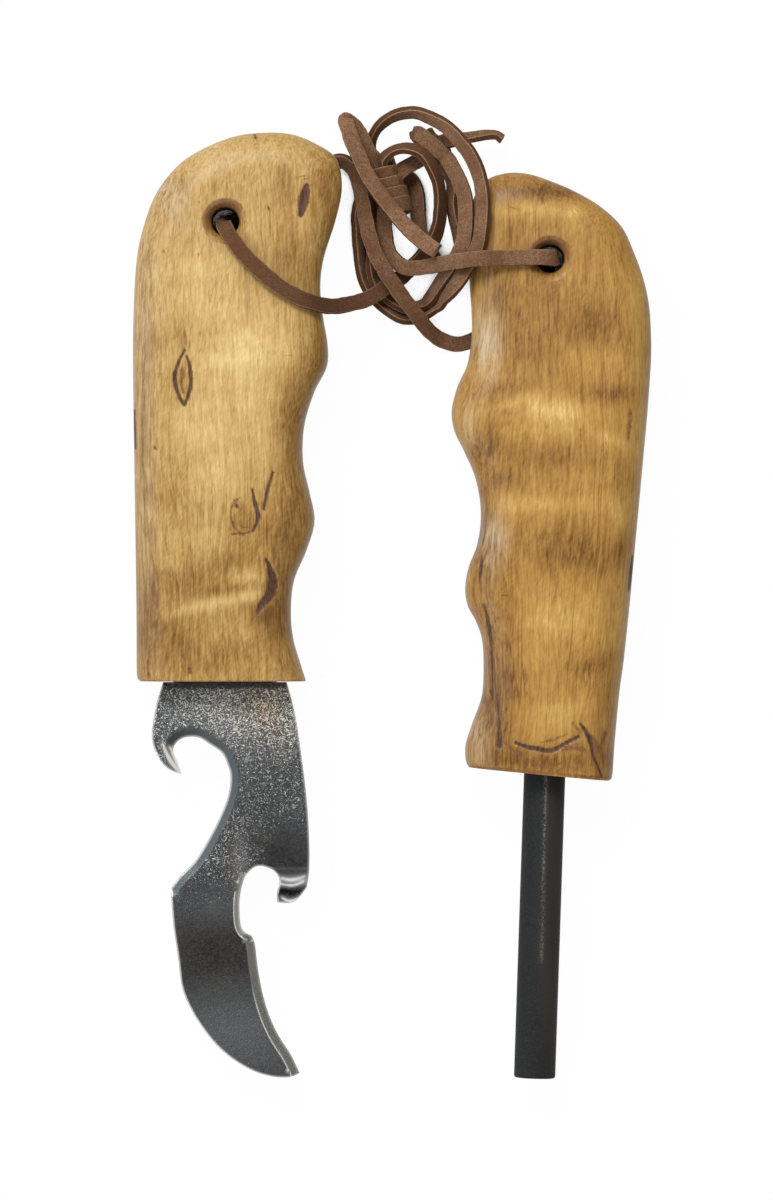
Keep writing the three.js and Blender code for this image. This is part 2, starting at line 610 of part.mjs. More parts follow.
// Lace
addPiece(object, "lace_back", laceStretch(backRoute), suede);
addPiece(object, "lace_tool_strand", laceStretch(toolStrandRoute), suede);
addPiece(object, "lace_rod_strand", laceStretch(rodStrandRoute), suede);
addPiece(object, "lace_outer_turn", laceStretch(outerTurnRoute), suede);
addPiece(object, "lace_inner_turn", laceStretch(innerTurnRoute), suede);
addPiece(object, "lace_link", laceStretch(linkRoute), suede);
addPiece(object, "lace_long_tail", laceStretch(longTailRoute), suede);
addPiece(object, "lace_short_tail", laceStretch(shortTailRoute), suede);
const longKnot = knot(longKnotLength, longKnotWraps, longKnotMiddle, longKnotAxis);
const shortKnot = knot(shortKnotLength, shortKnotWraps, shortKnotMiddle, shortKnotAxis);
addPiece(object, "lace_knot_long", longKnot, suede);
addPiece(object, "lace_knot_short", shortKnot, suede);

printLeastGap("lace_outer_turn", outerTurnRoute);
printLeastGap("lace_inner_turn", innerTurnRoute);

export default object;
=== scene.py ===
"""The looks of a ferro rod fire starter: a striker tool and a ferro rod, each in a curly birch
handle, tied together with one flat suede lace, on a white table and seen from straight above.
Lengths in this file are millimetres, and every piece is scaled to metres as it is finished."""

import math

import bmesh
import bpy
import numpy as np
from mathutils import Matrix, Vector
from mathutils.geometry import delaunay_2d_cdt


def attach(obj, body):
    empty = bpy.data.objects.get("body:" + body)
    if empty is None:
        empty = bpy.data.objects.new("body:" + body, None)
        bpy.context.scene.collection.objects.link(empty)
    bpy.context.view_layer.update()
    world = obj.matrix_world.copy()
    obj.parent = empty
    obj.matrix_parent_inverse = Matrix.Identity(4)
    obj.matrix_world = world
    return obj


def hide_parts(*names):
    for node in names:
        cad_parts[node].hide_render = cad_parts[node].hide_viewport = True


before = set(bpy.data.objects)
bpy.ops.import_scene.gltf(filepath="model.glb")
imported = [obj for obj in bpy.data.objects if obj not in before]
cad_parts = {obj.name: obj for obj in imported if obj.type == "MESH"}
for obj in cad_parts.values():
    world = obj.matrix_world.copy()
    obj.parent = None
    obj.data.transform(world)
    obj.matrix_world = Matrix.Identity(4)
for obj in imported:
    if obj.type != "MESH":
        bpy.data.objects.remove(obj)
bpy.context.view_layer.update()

# ---------------------------------------------------------------- Camera
# The camera hangs straight above the object with a long lens, the photograph's long side up.
# It frames the height that the photograph covers at the middle of the handles' thickness.
MM = 0.001
thickness = 18
middle = thickness / 2
photo_height = 231.9
camera_height = 1500


def shown(name, data):
    """A new object in the scene."""
    made = bpy.data.objects.new(name, data)
    bpy.context.scene.collection.objects.link(made)
    return made


camera_data = bpy.data.cameras.new("camera")
camera_data.sensor_width = 36
camera_data.lens = camera_data.sensor_width * (camera_height - middle) / photo_height
camera = shown("camera", camera_data)
camera.location = (-1.06 * MM, 1.07 * MM, camera_height * MM)
bpy.context.scene.camera = camera

# ---------------------------------------------------------------- Lace
# One flat lace of brown suede, 3 mm wide, cut from a hide: napped faces, darker cut sides. It runs
# through both handles, and each of its ends is wrapped round the other strand in a knot.
# Every route is [x, y, z, tilt in degrees] along the middle of the lace.
lace_width = 3.0
lace_thickness = 1.3
lace_corner = 0.3
lace_wander = 0.14
lace_step = 0.4

back_route = [
    [-32.1, 74, 8.8, 0], [-31.9, 74.1, 4.2, 0], [-30.9, 74.6, 1.7, 0], [-28.8, 75.8, 1.1, 0],
    [-25.1, 78, 1.05, 0], [-20.7, 80.6, 1.05, 0], [-16.2, 83.3, 1.1, -5], [-10, 86.3, 1.6, -35],
    [-8.1, 85.3, 2.5, -45], [-6.8, 83.2, 3.6, -40], [-6, 80.3, 4.9, -25], [-4.9, 74.1, 6.6, -10],
    [-4.1, 70.6, 7, -8], [-2.8, 67.3, 7.3, -5], [0.6, 61.7, 7.2, 0], [3.9, 57.3, 6.2, 0],
    [5.6, 55.1, 4.8, 0], [7.5, 53, 2.7, 0], [9.9, 51.5, 1.1, 0], [12.2, 50.8, 0.86, 0],
    [14.5, 51.1, 0.84, 0], [17.2, 52.5, 0.84, 0], [20.5, 55.4, 0.9, 0], [24, 59.2, 1.0, 0],
    [27.1, 62.7, 1.1, 0], [29.3, 65.2, 1.7, 0], [30.3, 66.5, 4.2, 0], [30.5, 66.9, 8.8, 0],
]
tool_strand_route = [
    [-32.1, 74, 8.8, 0], [-32.4, 73.5, 13.2, 0], [-32, 72.5, 16, 0], [-30.6, 70.3, 17.1, 0],
    [-28.2, 67.2, 17.5, 0], [-24.8, 63.9, 17.8, 0], [-21.1, 61, 17.7, 0], [-18, 59.2, 17.6, 5],
    [-15.5, 58.3, 16.5, 15], [-12.6, 57.7, 13.5, 15], [-10, 57.9, 10, 10], [-7.1, 58.6, 7.6, 5],
    [-4.3, 59.6, 5.9, 0], [-1.5, 61.4, 4.9, 0], [3.1, 64.8, 4.2, -15], [7.3, 69.6, 4.8, -35],
    [8.7, 72.6, 5.3, -45], [9.3, 76, 5.8, -50], [9.3, 79.3, 6.4, -55], [8.7, 82.5, 7.3, -55],
    [6.2, 87.1, 9, -50], [4.3, 88.1, 9, -55], [2.3, 88.4, 8.4, -60], [0.2, 87.9, 7.6, -65],
    [-1.8, 86.2, 6.7, -60], [-1.9, 84.6, 5.6, -50],
]
rod_strand_route = [
    [30.5, 66.9, 8.8, 0], [31.3, 66.9, 13, 0], [30.9, 66.9, 15.5, 0], [29.1, 67, 16.6, 0],
    [22.6, 66.9, 16.7, 0], [18.2, 66.7, 18, 0], [16.4, 66.6, 18.1, 0], [14.8, 66.5, 17.8, 0],
    [13.3, 66.3, 17.4, 0], [11.6, 66.1, 16.1, 0], [9.9, 65.9, 13.9, 0], [7.9, 65.6, 10.9, 0],
    [4.0, 65.3, 7.7, 10], [2.0, 65.7, 6.6, 15], [-0.3, 67.9, 5.0, 20], [-1.1, 70.4, 4.3, 20],
    [-1.4, 72.9, 4.2, 15], [-1.4, 75.5, 4.3, 10], [-1.0, 77.9, 4.4, 5], [-0.4, 80.2, 4.6, 5],
]
outer_turn_route = [
    [-1.6, 83.8, 3.6, 0], [-2.6, 85.4, 2.6, 0], [-4.1, 88.2, 2.3, -60], [-4, 90.1, 2.8, -70],
    [-3.1, 92.1, 4, -70], [-1.5, 93.7, 5.2, -65], [0.5, 94.8, 6.3, -62], [2.7, 95.3, 7.4, -60],
    [5, 95.2, 8.6, -58], [9.7, 92.9, 11, -48], [11.8, 91.1, 12.3, -42], [15.1, 86.7, 14.4, -38],
    [17.1, 81.6, 15.3, -42], [17.5, 75.8, 15.3, -40], [16.8, 70.1, 15.2, -34],
    [15.8, 67.5, 15.4, -28], [14.6, 65.4, 15, -28], [13.4, 63.4, 14.9, -33],
    [12.1, 61.4, 13.5, -44], [10.3, 59.6, 8.7, -52], [8.7, 58, 3.7, -60], [5.2, 55.9, 2.1, -60],
    [3.4, 55.6, 1.95, -60], [1.5, 55.9, 1.95, -60], [-3.3, 59.5, 1.95, -60],
    [-5.4, 62.9, 1.95, -60], [-6.3, 67.9, 1.95, -60], [-6.7, 73.3, 1.95, -60],
    [-6.6, 76.4, 1.9, -50], [-5.2, 79.9, 1.2, -15], [-4.0, 81.6, 1.05, 0], [-2.5, 82.8, 1.05, 0],
    [1.4, 83.4, 1.05, 0], [3.2, 83, 1.1, -10], [4.3, 81.7, 1.5, -25], [4.9, 79.7, 1.6, -30],
    [5.2, 74.7, 1.3, -15], [5.7, 72.2, 1.15, 0], [8, 67.6, 1.4, 25], [9.8, 66.1, 1.9, 50],
    [11.6, 65.8, 2.4, 65], [12.9, 67.2, 2.6, 65], [13.3, 69.3, 2.5, 60], [12.9, 71.8, 3, 60],
    [11.7, 77.2, 4.5, 60], [11.6, 82.3, 4.5, 55], [10.1, 85.6, 4.2, 20], [8.6, 87.6, 4.3, 10],
]
inner_turn_route = [
    [5.8, 90.2, 4.4, 0], [4.9, 91.2, 5.4, 0], [5.2, 91.2, 6.9, 0], [6.6, 90.1, 7.9, 0],
    [8.8, 88.2, 7.8, 0], [10.6, 86.5, 7.2, -5], [12.2, 83.7, 9, -15], [14, 79.1, 12.4, -20],
    [14.2, 76.4, 13.7, -20], [14.2, 73.5, 14.0, -18], [13.9, 70.6, 14.0, -15],
    [12.9, 67.9, 14.0, -22], [11.3, 65.4, 12.9, -38], [10, 63.4, 10.2, -46], [8.7, 61.5, 7, -48],
    [7.4, 59.7, 3.9, -52], [6.1, 58.4, 2.6, -62], [4.3, 57.8, 2.1, -62], [2.6, 57.8, 1.95, -62],
    [-0.7, 59.6, 1.95, -62], [-3.1, 62.4, 1.95, -62], [-3.8, 64.5, 1.95, -62],
    [-3.4, 70.1, 1.9, -35], [-3.2, 75.2, 1.8, -25], [-3.6, 77.8, 1.9, -15], [-3.1, 79.6, 2.3, 0],
    [-0.6, 80.4, 3.2, 0],
]
link_route = [[0.9, 83.3, 5.6, 0], [2, 84.4, 5.4, 0], [5.6, 86.5, 5.1, 0], [7, 87.6, 5, 0]]
long_tail_route = [
    [-2.4, 82.9, 4.5, 0], [-2.9, 84.8, 4.8, 0], [-4.8, 88.4, 5.4, 0], [-6.4, 91.6, 5.7, 0],
    [-7.8, 93.2, 6.2, 0], [-8.8, 93.9, 7.1, 0], [-9, 93.6, 8.3, 0], [-8.6, 92.4, 9, 0],
    [-7.2, 88.5, 9.1, 8], [-4.9, 83.3, 9.3, 14], [-1.1, 77.8, 9.8, 16], [3.1, 72.8, 10.8, 14],
    [5.3, 70.7, 12.1, 8], [8.6, 68.3, 14, 0],
]
short_tail_route = [
    [9.3, 89.6, 5.6, 10], [11.3, 90.1, 6.2, 20], [13.9, 90.5, 6, 58], [20.1, 91.2, 4.6, 72],
    [21.4, 90.4, 4.4, 68],
]


def give(node, *inputs, **named):
    """Sets a node's inputs to values or wires, in their order or by name, with _ for each space."""
    for name, value in (*enumerate(inputs), *named.items()):
        if value is not None:
            socket = node.inputs[name.replace("_", " ") if name in named else name]
            if isinstance(value, Wire):
                value.tree.links.new(value.socket, socket)
            else:
                socket.default_value = value


class Wire:
    """A socket in a tree of nodes, on which the maths is written as Python expressions."""

    def __init__(self, tree, socket=None):
        self.tree, self.socket = tree, socket

    def node(self, kind, *inputs, out=0, **named):
        """Any other node. Names with a capital are its inputs, and the others are its settings."""
        made = self.tree.nodes.new(kind if kind.startswith("Geometry") else "ShaderNode" + kind)
        for name in [name for name in named if name.islower()]:
            setattr(made, name, named.pop(name))
        give(made, *inputs, **named)
        return Wire(self.tree, made.outputs[out])

    def math(self, operation, *others):
        return self.node("Math", self, *others, operation=operation)

    def __add__(self, other):
        return self.math("ADD", other)

    def __sub__(self, other):
        return self.math("SUBTRACT", other)

    def __rsub__(self, other):
        return self.node("Math", other, self, operation="SUBTRACT")

    def __mul__(self, other):
        return self.math("MULTIPLY", other)

    def __truediv__(self, other):
        return self.math("DIVIDE", other)

    def __abs__(self):
        return self.math("ABSOLUTE")

    __radd__ = __add__
    __rmul__ = __mul__

    def ramped(self, low, high):
        """0 at low and 1 at high, with a smooth ramp between them. Low may be the greater one."""
        limits = {"From_Min": low, "From_Max": high}
        return self.node("MapRange", self, interpolation_type="SMOOTHSTEP", **limits)

    def noise(self, scale, detail=3.0, roughness=0.5, distortion=0.0):
        """Noise at this place."""
        amounts = {"Detail": detail, "Roughness": roughness, "Distortion": distortion}
        return self.node("TexNoise", Vector=self, Scale=scale, **amounts)

    def scaled(self, factors):
        """This vector times a number, or times a factor for each axis."""
        if isinstance(factors, tuple):
            return self.node("VectorMath", self, factors, operation="MULTIPLY")
        return self.node("VectorMath", self, operation="SCALE", Scale=factors)

    def added(self, *vectors):
        total = self
        for vector in vectors:
            total = self.node("VectorMath", total, vector, operation="ADD")
        return total

    def mixed(self, a, b, how="MIX"):
        """Two colours mixed by this share. Either is a wire or three plain numbers."""
        a, b = ((*c, 1) if isinstance(c, tuple) else c for c in (a, b))
        settings = {"data_type": "RGBA", "blend_type": how, "clamp_factor": True}
        return self.node("Mix", self, *[None] * 5, a, b, out=2, **settings)

    def bump(self, distance, strength=1.0):
        return self.node("Bump", Height=self, Distance=distance, Strength=strength)

    def attribute(self, name):
        return self.node("Attribute", attribute_name=name, out="Fac")


def flat_lace():
    """The tree that sweeps the lace's section along a path and makes its edges and faces uneven."""
    tree = bpy.data.node_groups.new("flat_lace", "GeometryNodeTree")
    for name, way, kind in (
        ("Path", "INPUT", "Geometry"), ("Seed", "INPUT", "Float"), ("Lace", "OUTPUT", "Geometry"),
    ):
        tree.interface.new_socket(name, in_out=way, socket_type="NodeSocket" + kind)
    inputs = tree.nodes.new("NodeGroupInput").outputs
    path, seed, wire = Wire(tree, inputs["Path"]), Wire(tree, inputs["Seed"]), Wire(tree)

    def kept(geometry, name, value):
        values = {"Geometry": geometry, "Name": name, "Value": value}
        return wire.node("GeometryNodeStoreNamedAttribute", **values)

    def read(name, data_type="FLOAT"):
        return wire.node("GeometryNodeInputNamedAttribute", data_type=data_type, Name=name)

    across, through = read("across", "FLOAT_VECTOR"), read("through", "FLOAT_VECTOR")
    path = wire.node("GeometryNodeMeshToCurve", Mesh=path)
    path = wire.node("GeometryNodeSetCurveNormal", mode="FREE", Curve=path, Normal=across)
    path = kept(path, "along", wire.node("GeometryNodeSplineParameter", out="Length"))
    size = {"Width": lace_width, "Height": lace_thickness}
    section = wire.node("GeometryNodeCurvePrimitiveQuadrilateral", **size)
    corner = {"mode": "POLY", "Count": 2, "Radius": lace_corner}
    section = wire.node("GeometryNodeFilletCurve", Curve=section, **corner)
    section = wire.node("GeometryNodeSubdivideCurve", Curve=section, Cuts=3)
    place = wire.node("GeometryNodeInputPosition")
    section = kept(section, "reach", wire.node("SeparateXYZ", place, out="X"))
    height = abs(wire.node("SeparateXYZ", place, out="Y"))
    half = lace_thickness / 2
    section = kept(section, "side", height.ramped(half, half - lace_corner))
    lace = wire.node("GeometryNodeCurveToMesh", Curve=path, Profile_Curve=section, Fill_Caps=True)
    along, edge = read("along"), read("reach") / lace_width * 2
    cut = wire.node("CombineXYZ", along, edge.math("SIGN") * 5, seed).noise(0.45) - 0.5
    cup = wire.node("CombineXYZ", along, 20.0, seed).noise(0.16, 2) - 0.5
    grain = place.added(wire.node("CombineXYZ", seed, seed, seed)).noise(1.1) - 0.5
    offset = across.scaled(edge * cut * lace_wander * 3).added(
        through.scaled((edge * edge - 0.4) * cup * lace_wander * 3),
        wire.node("GeometryNodeInputNormal").scaled(grain * lace_wander),
    )
    lace = wire.node("GeometryNodeSetPosition", Geometry=lace, Offset=offset)
    lace = wire.node("GeometryNodeSetMaterial", Geometry=lace, Material=suede)
    tree.links.new(lace.socket, tree.nodes.new("NodeGroupOutput").inputs["Lace"])
    return tree


def new_material(name):
    """A material with one Principled shader, and a wire that starts its maths."""
    material = bpy.data.materials.new(name)
    material.use_nodes = True
    tree = material.node_tree
    return material, tree.nodes["Principled BSDF"], Wire(tree)


suede, shader, wire = new_material("suede")
place = wire.node("TexCoord", out="Object")
nap, tufts = place.noise(4200, 4, 0.75), place.noise(1500, 3, 0.6)
blotches = place.noise(170, 3, 0.6)
side, pale = wire.attribute("side"), wire.attribute("pale")
deep = pale.mixed((0.062, 0.026, 0.013), (0.160, 0.080, 0.042))
light = pale.mixed((0.205, 0.098, 0.050), (0.520, 0.305, 0.175))
colour = nap.ramped(0.30, 0.70).mixed(deep, light)
colour = (tufts.ramped(0.55, 0.30) * 0.55).mixed(colour, (0.105, 0.046, 0.021))
colour = (blotches.ramped(0.60, 0.36) * 0.5).mixed(colour, (0.12, 0.052, 0.024))
rim = abs(side - 0.42).ramped(0.40, 0.10)
colour = (rim * nap.ramped(0.3, 0.55) * 0.9).mixed(colour, (0.50, 0.30, 0.18))
colour = (side.ramped(0.70, 1.0) * 0.75).mixed(colour, (0.075, 0.032, 0.016))
give(
    shader, Base_Color=colour, Roughness=0.95, Specular_IOR_Level=0.15, Sheen_Weight=0.12,
    Sheen_Roughness=0.45, Sheen_Tint=(0.8, 0.5, 0.3, 1),
    Normal=(nap * 0.6 + tufts * 0.6).bump(0.22 * MM, 0.9),
)
lace_tree = flat_lace()


def run_along(line):
    """How far along a line each of its points lies."""
    steps = np.linalg.norm(np.diff(line[:, :3], axis=0), axis=1)
    return np.concatenate([[0], np.cumsum(steps)])


def even_steps(line, count):
    """A line's points moved to even steps. What stands behind x, y and z goes along."""
    along = run_along(line)
    at = np.linspace(0, along[-1], count)
    return np.stack([np.interp(at, along, column) for column in line.T], axis=1)


def arc(start, end, leave, arrive, t):
    """A cubic line from start to end with the headings leave and arrive."""
    cubic = (2 * start - 2 * end + leave + arrive) * t**3
    return start + leave * t + (3 * end - 3 * start - 2 * leave - arrive) * t**2 + cubic


def unit(vectors):
    return vectors / np.linalg.norm(vectors, axis=1)[:, None]


def laid(route):
    """A line of lace along a smooth curve through a route's points: its middle, the way across it
    and the way through it. A tilt lifts its right edge."""
    route = np.array(route, float)
    points = route[:, :3]
    padded = np.vstack([2 * points[0] - points[1], points, 2 * points[-1] - points[-2]])
    gaps = np.linalg.norm(np.diff(padded, axis=0), axis=1) ** 0.5
    line = []
    for i in range(len(points) - 1):
        a, b, c, d = padded[i : i + 4]
        before, here, after = gaps[i : i + 3]
        leave = ((b - a) / before - (c - a) / (before + here) + (c - b) / here) * here
        arrive = ((c - b) / here - (d - b) / (here + after) + (d - c) / after) * here
        t = np.linspace(0, 1, 24, endpoint=i == len(points) - 2)[:, None]
        tilt = route[i, 3] + (route[i + 1, 3] - route[i, 3]) * t
        line.append(np.hstack([arc(b, c, leave, arrive, t), tilt]))
    line = np.vstack(line)
    line = even_steps(line, max(4, round(run_along(line)[-1] / lace_step)))
    places, angle = line[:, :3], np.radians(line[:, 3:])
    headings = unit(np.gradient(places, axis=0))
    flat = unit(np.cross(headings, (0, 0, 1)))
    across = flat * np.cos(angle) + np.cross(flat, headings) * np.sin(angle)
    return places, across, np.cross(across, headings)


def uneven(seed, count, spacing, amount):
    """Random values every so often, with a smooth line through them."""
    knots = np.random.default_rng(seed).normal(0, amount, int(count / spacing) + 5)
    at = np.arange(count) / spacing
    i = at.astype(int)
    t = at - i
    t = t * t * (3 - 2 * t)
    return knots[i] * (1 - t) + knots[i + 1] * t


def knot_lines(centre, axis, length, around, turns, first_angle, seed):
    """The lines of a knot: the lace wound round two strands that lie on each other."""
    axis = np.array(axis) / np.linalg.norm(axis)
    side = np.cross(axis, (0, 0, 1))
    up = np.cross(side, axis)
    points_a_turn, core_points = 40, 16
    count = int(turns * points_a_turn)
    share = np.linspace(0, 1, count)
    angle = np.radians(first_angle) + share * turns * 2 * np.pi
    radius = around + uneven(seed, count, 11, 0.12)
    run = (share - 0.5) * (length - lace_width * 0.9)
    outward = np.cos(angle)[:, None] * side + np.sin(angle)[:, None] * up
    places = np.array(centre) + run[:, None] * axis + radius[:, None] * outward
    headings = unit(np.gradient(places, axis=0))
    across = unit(np.cross(outward, headings))
    lift = np.radians(13 + uneven(seed + 5, count, 9, 5))[:, None]
    across = across * np.cos(lift) + np.cross(headings, across) * np.sin(lift)
    lines = [(places, across, np.cross(headings, across))]
    for height in (-lace_thickness / 2, lace_thickness / 2):
        run = np.linspace(-length / 2, length / 2, core_points)[:, None]
        flat, upright = np.tile(side, (core_points, 1)), np.tile(up, (core_points, 1))
        lines.append((np.array(centre) + run * axis + height * up, flat, upright))
    return lines


def paint(mesh, **values):
    """Gives each point of a mesh its values, as attributes that the materials read."""
    for title, amounts in values.items():
        layer = mesh.attributes.new(title, "FLOAT", "POINT")
        layer.data.foreach_set("value", amounts.astype(np.float32))


def face_outwards(mesh, merge=0.0):
    """Turns a closed mesh's faces outwards, after joining points that lie closer than merge."""
    tidy = bmesh.new()
    tidy.from_mesh(mesh)
    if merge:
        bmesh.ops.remove_doubles(tidy, verts=tidy.verts, dist=merge)
    bmesh.ops.recalc_face_normals(tidy, faces=tidy.faces)
    tidy.to_mesh(mesh)
    tidy.free()


def finish_mesh(mesh):
    """Scales a closed mesh to metres and shades it smooth."""
    mesh.transform(Matrix.Scale(MM, 4))
    face_outwards(mesh)
    mesh.shade_smooth()


def made_by_modifiers(piece):
    """The mesh that a piece's modifiers make."""
    evaluated = piece.evaluated_get(bpy.context.evaluated_depsgraph_get())
    return bpy.data.meshes.new_from_object(evaluated)


def lace_piece(name, lines, seed, nodes, paleness):
    """A piece of lace made along its lines, riding as the lace and standing for its CAD nodes.
    Its paleness says which of the hide's two faces it shows: 0 is the dark one, 1 the pale one."""
    path = bpy.data.meshes.new(name)
    edges, first = [], 0
    for places, _, _ in lines:
        edges += [(first + i, first + i + 1) for i in range(len(places) - 1)]
        first += len(places)
    places, across, through = (np.vstack(parts) for parts in zip(*lines))
    path.from_pydata(places.tolist(), edges, [])
    for title, vectors in (("across", across), ("through", through)):
        layer = path.attributes.new(title, "FLOAT_VECTOR", "POINT")
        layer.data.foreach_set("vector", vectors.ravel())
    piece = shown(name, path)
    maker = piece.modifiers.new("lace", "NODES")
    maker.node_group = lace_tree
    maker[lace_tree.interface.items_tree["Seed"].identifier] = float(seed)
    mesh = made_by_modifiers(piece)
    piece.modifiers.clear()
    piece.data = mesh
    for title in ("across", "through", "along", "reach"):
        mesh.attributes.remove(mesh.attributes[title])
    paint(mesh, pale=np.full(len(mesh.vertices), paleness))
    finish_mesh(mesh)
    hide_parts(*nodes)
    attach(piece, "lace")
    return piece


long_knot = knot_lines(
    centre=(-0.3, 80.9, 4.9), axis=(0.33, -0.94, 0), length=11.4, around=2.2, turns=4.1,
    first_angle=200, seed=31,
)
short_knot = knot_lines(
    centre=(7.9, 88.8, 4.6), axis=(0.76, -0.65, 0), length=6.2, around=1.85, turns=2.2,
    first_angle=120, seed=41,
)
long_nodes = ("lace_knot_long", "lace_link")
short_nodes = ("lace_knot_short", "lace_short_tail")
knot_long = lace_piece("knot_long", [*long_knot, laid(link_route)], 31, long_nodes, 0.35)
knot_short = lace_piece("knot_short", [*short_knot, laid(short_tail_route)], 41, short_nodes, 0.6)

# The free stretches: their routes, the CAD node that each stands for, how it ends, its knot, its
# seed and its paleness.
for name, route, node, far_end, with_pieces, seed, paleness in (
    ("lace_under", back_route, "lace_back", "object", [], 5, 0.3),
    ("lace_from_tool", tool_strand_route, "lace_tool_strand", "knot", [knot_long], 6, 0.0),
    ("lace_from_rod", rod_strand_route, "lace_rod_strand", "knot", [knot_long], 7, 0.5),
    ("lace_turn_outer", outer_turn_route, "lace_outer_turn", "knot", [knot_short], 8, 0.45),
    ("lace_turn_inner", inner_turn_route, "lace_inner_turn", "knot", [knot_short], 9, 0.5),
    ("lace_tail", long_tail_route, "lace_long_tail", "bare", [knot_long], 10, 0.6),
):
    line = laid(route)
    lace_piece(name, [line], seed, [node], paleness)

# ---------------------------------------------------------------- Tool handle
# The striker's handle: curly birch, sawn from a board, rounded over, thinned to the head and carved
# with finger swells on one side, sanded and oiled. A hole with a rounded mouth takes the lace.
# Outlines are shares of the handle's width (from its centre line) and length (from its end face).
edge_inset, edge_height = 7.0, 7.0
head_thickness = 10.0
thinning_start, thinning_ease = 0.5, 0.2
crown = 0.3
tool_length, tool_width = 106.0, 37.5
tool_hole = (0.2, 88.6)
tool_place = (-32.3, -14.6)
photo_scale = 5.175
tool_outline = [
    [0.418, 0], [0.392, 0.029], [0.352, 0.078], [0.34, 0.129], [0.357, 0.184], [0.42, 0.238],
    [0.462, 0.292], [0.436, 0.345], [0.403, 0.4], [0.409, 0.465], [0.461, 0.527], [0.524, 0.572],
    [0.53, 0.612], [0.506, 0.665], [0.492, 0.72], [0.51, 0.772], [0.57, 0.84], [0.603, 0.9],
    [0.575, 0.951], [0.469, 0.979], [0.33, 0.997], [0.153, 0.998], [0.01, 0.988], [-0.147, 0.963],
    [-0.247, 0.937], [-0.345, 0.893], [-0.407, 0.84], [-0.453, 0.767], [-0.471, 0.64],
    [-0.469, 0.49], [-0.464, 0.379], [-0.459, 0.257], [-0.454, 0.13], [-0.453, 0.05],
    [-0.4525, 0.025], [-0.452, 0.013], [-0.446, 0.004], [-0.432, 0],
]


def smooth_line(points, steps=24):
    """A smooth line through 2-D points that starts and ends at the first and the last."""
    points = np.array(points, float)
    padded = np.vstack([points[0], points, points[-1]])
    t = np.linspace(0, 1, steps, endpoint=False)[:, None]
    fours = zip(padded, padded[1:], padded[2:], padded[3:])
    line = [arc(b, c, (c - a) / 2, (d - b) / 2, t) for a, b, c, d in fours]
    return np.vstack([*line, points[-1:]])


def thickness_share(along):
    """How much of the full thickness is left at a share of the length."""
    def ramp(u):
        eased = np.where(u < thinning_ease, u * u / (2 * thinning_ease), u - thinning_ease / 2)
        return np.where(u <= 0, 0, eased)

    u = (np.asarray(along) - thinning_start) / (1 - thinning_start)
    return 1 - (1 - head_thickness / thickness) * (ramp(u) / ramp(np.array(1.0)))


def rounding(steps):
    """The rounded edge, from the flat face out to the side, as (inset, height) steps."""
    angles = [math.pi / 2 * (1 - k / steps) for k in range(steps + 1)]
    return [(edge_inset * (1 - math.cos(a)), edge_height * (1 - math.sin(a))) for a in angles]


def handle_blank(outline, width, length, end_cut):
    """A carved handle's closed surface: rings over the rounded edges, and gridded faces."""
    sides, lower_steps, upper_steps, lower_columns, upper_columns = 720, 9, 38, 16, 116
    edge = even_steps(smooth_line(np.array(outline) * (width, length)), sides + 1)
    heading = unit(np.gradient(edge, axis=0))
    straight = np.where(np.arange(sides + 1) < sides / 2, 1.0, -1.0)
    share = np.clip(edge[:, 1] / 6, 0, 1)[:, None]
    heading = unit(heading * share + np.stack([0 * straight, straight], axis=1) * (1 - share))
    inward = np.stack([-heading[:, 1], heading[:, 0]], axis=1)
    levels = rounding(lower_steps)
    levels += [(inset, thickness - height) for inset, height in rounding(upper_steps)[::-1]]
    points, faces = [], []

    def add(flat, height):
        """Adds a row of points at a height of the unthinned handle, and gives its first number."""
        y = np.maximum(0, flat[:, 1])
        z = middle + (height - middle) * thickness_share(y / length)
        y = y + flat[:, 0] * math.tan(end_cut) * (1 - y / length)
        points.append(np.stack([flat[:, 0], y, z], axis=1))
        return sum(map(len, points)) - len(flat)

    rows = [add(edge + inward * inset, height) for inset, height in levels]
    for low, high in zip(rows, rows[1:]):
        for i in range(sides):
            faces.append((low + i, low + i + 1, high + i + 1, high + i))
    half = sides // 2
    inner = edge + inward * edge_inset
    first_rows = []
    for row, height, columns in (
        (rows[0], 0.0, lower_columns), (rows[-1], float(thickness), upper_columns),
    ):
        grid = []
        for i in range(half):
            right, left = inner[i], inner[sides - i]
            share = np.linspace(0, 1, columns + 1)[1:-1, None]
            first = add(right + (left - right) * share, height)
            if height:
                ends = min(1, (i + 1) / 60, (half - i) / 110)
                rise = crown * ends * ends * (3 - 2 * ends)
                points[-1][:, 2] += rise * np.sin(math.pi * share[:, 0]) ** 2
            grid.append([row + i, *range(first, first + columns - 1), row + sides - i])
        for lower, upper in zip(grid, grid[1:]):
            for a, b, c, d in zip(lower, lower[1:], upper[1:], upper):
                faces.append((a, b, c, d) if height else (d, c, b, a))
        tip = row + half
        for a, b in zip(grid[-1], grid[-1][1:]):
            faces.append((a, b, tip) if height else (tip, b, a))
        first_rows.append(grid[0])
    bottom, top = first_rows
    left = [row + sides for row in reversed(rows[:-1])]
    faces.append((*rows[:-1], *top, *left, *bottom[-2:0:-1]))
    return np.vstack(points), faces


def closed_object(name, points, faces):
    mesh = bpy.data.meshes.new(name)
    mesh.from_pydata(np.asarray(points).tolist(), [], faces)
    face_outwards(mesh, 1e-3)
    return shown(name, mesh)


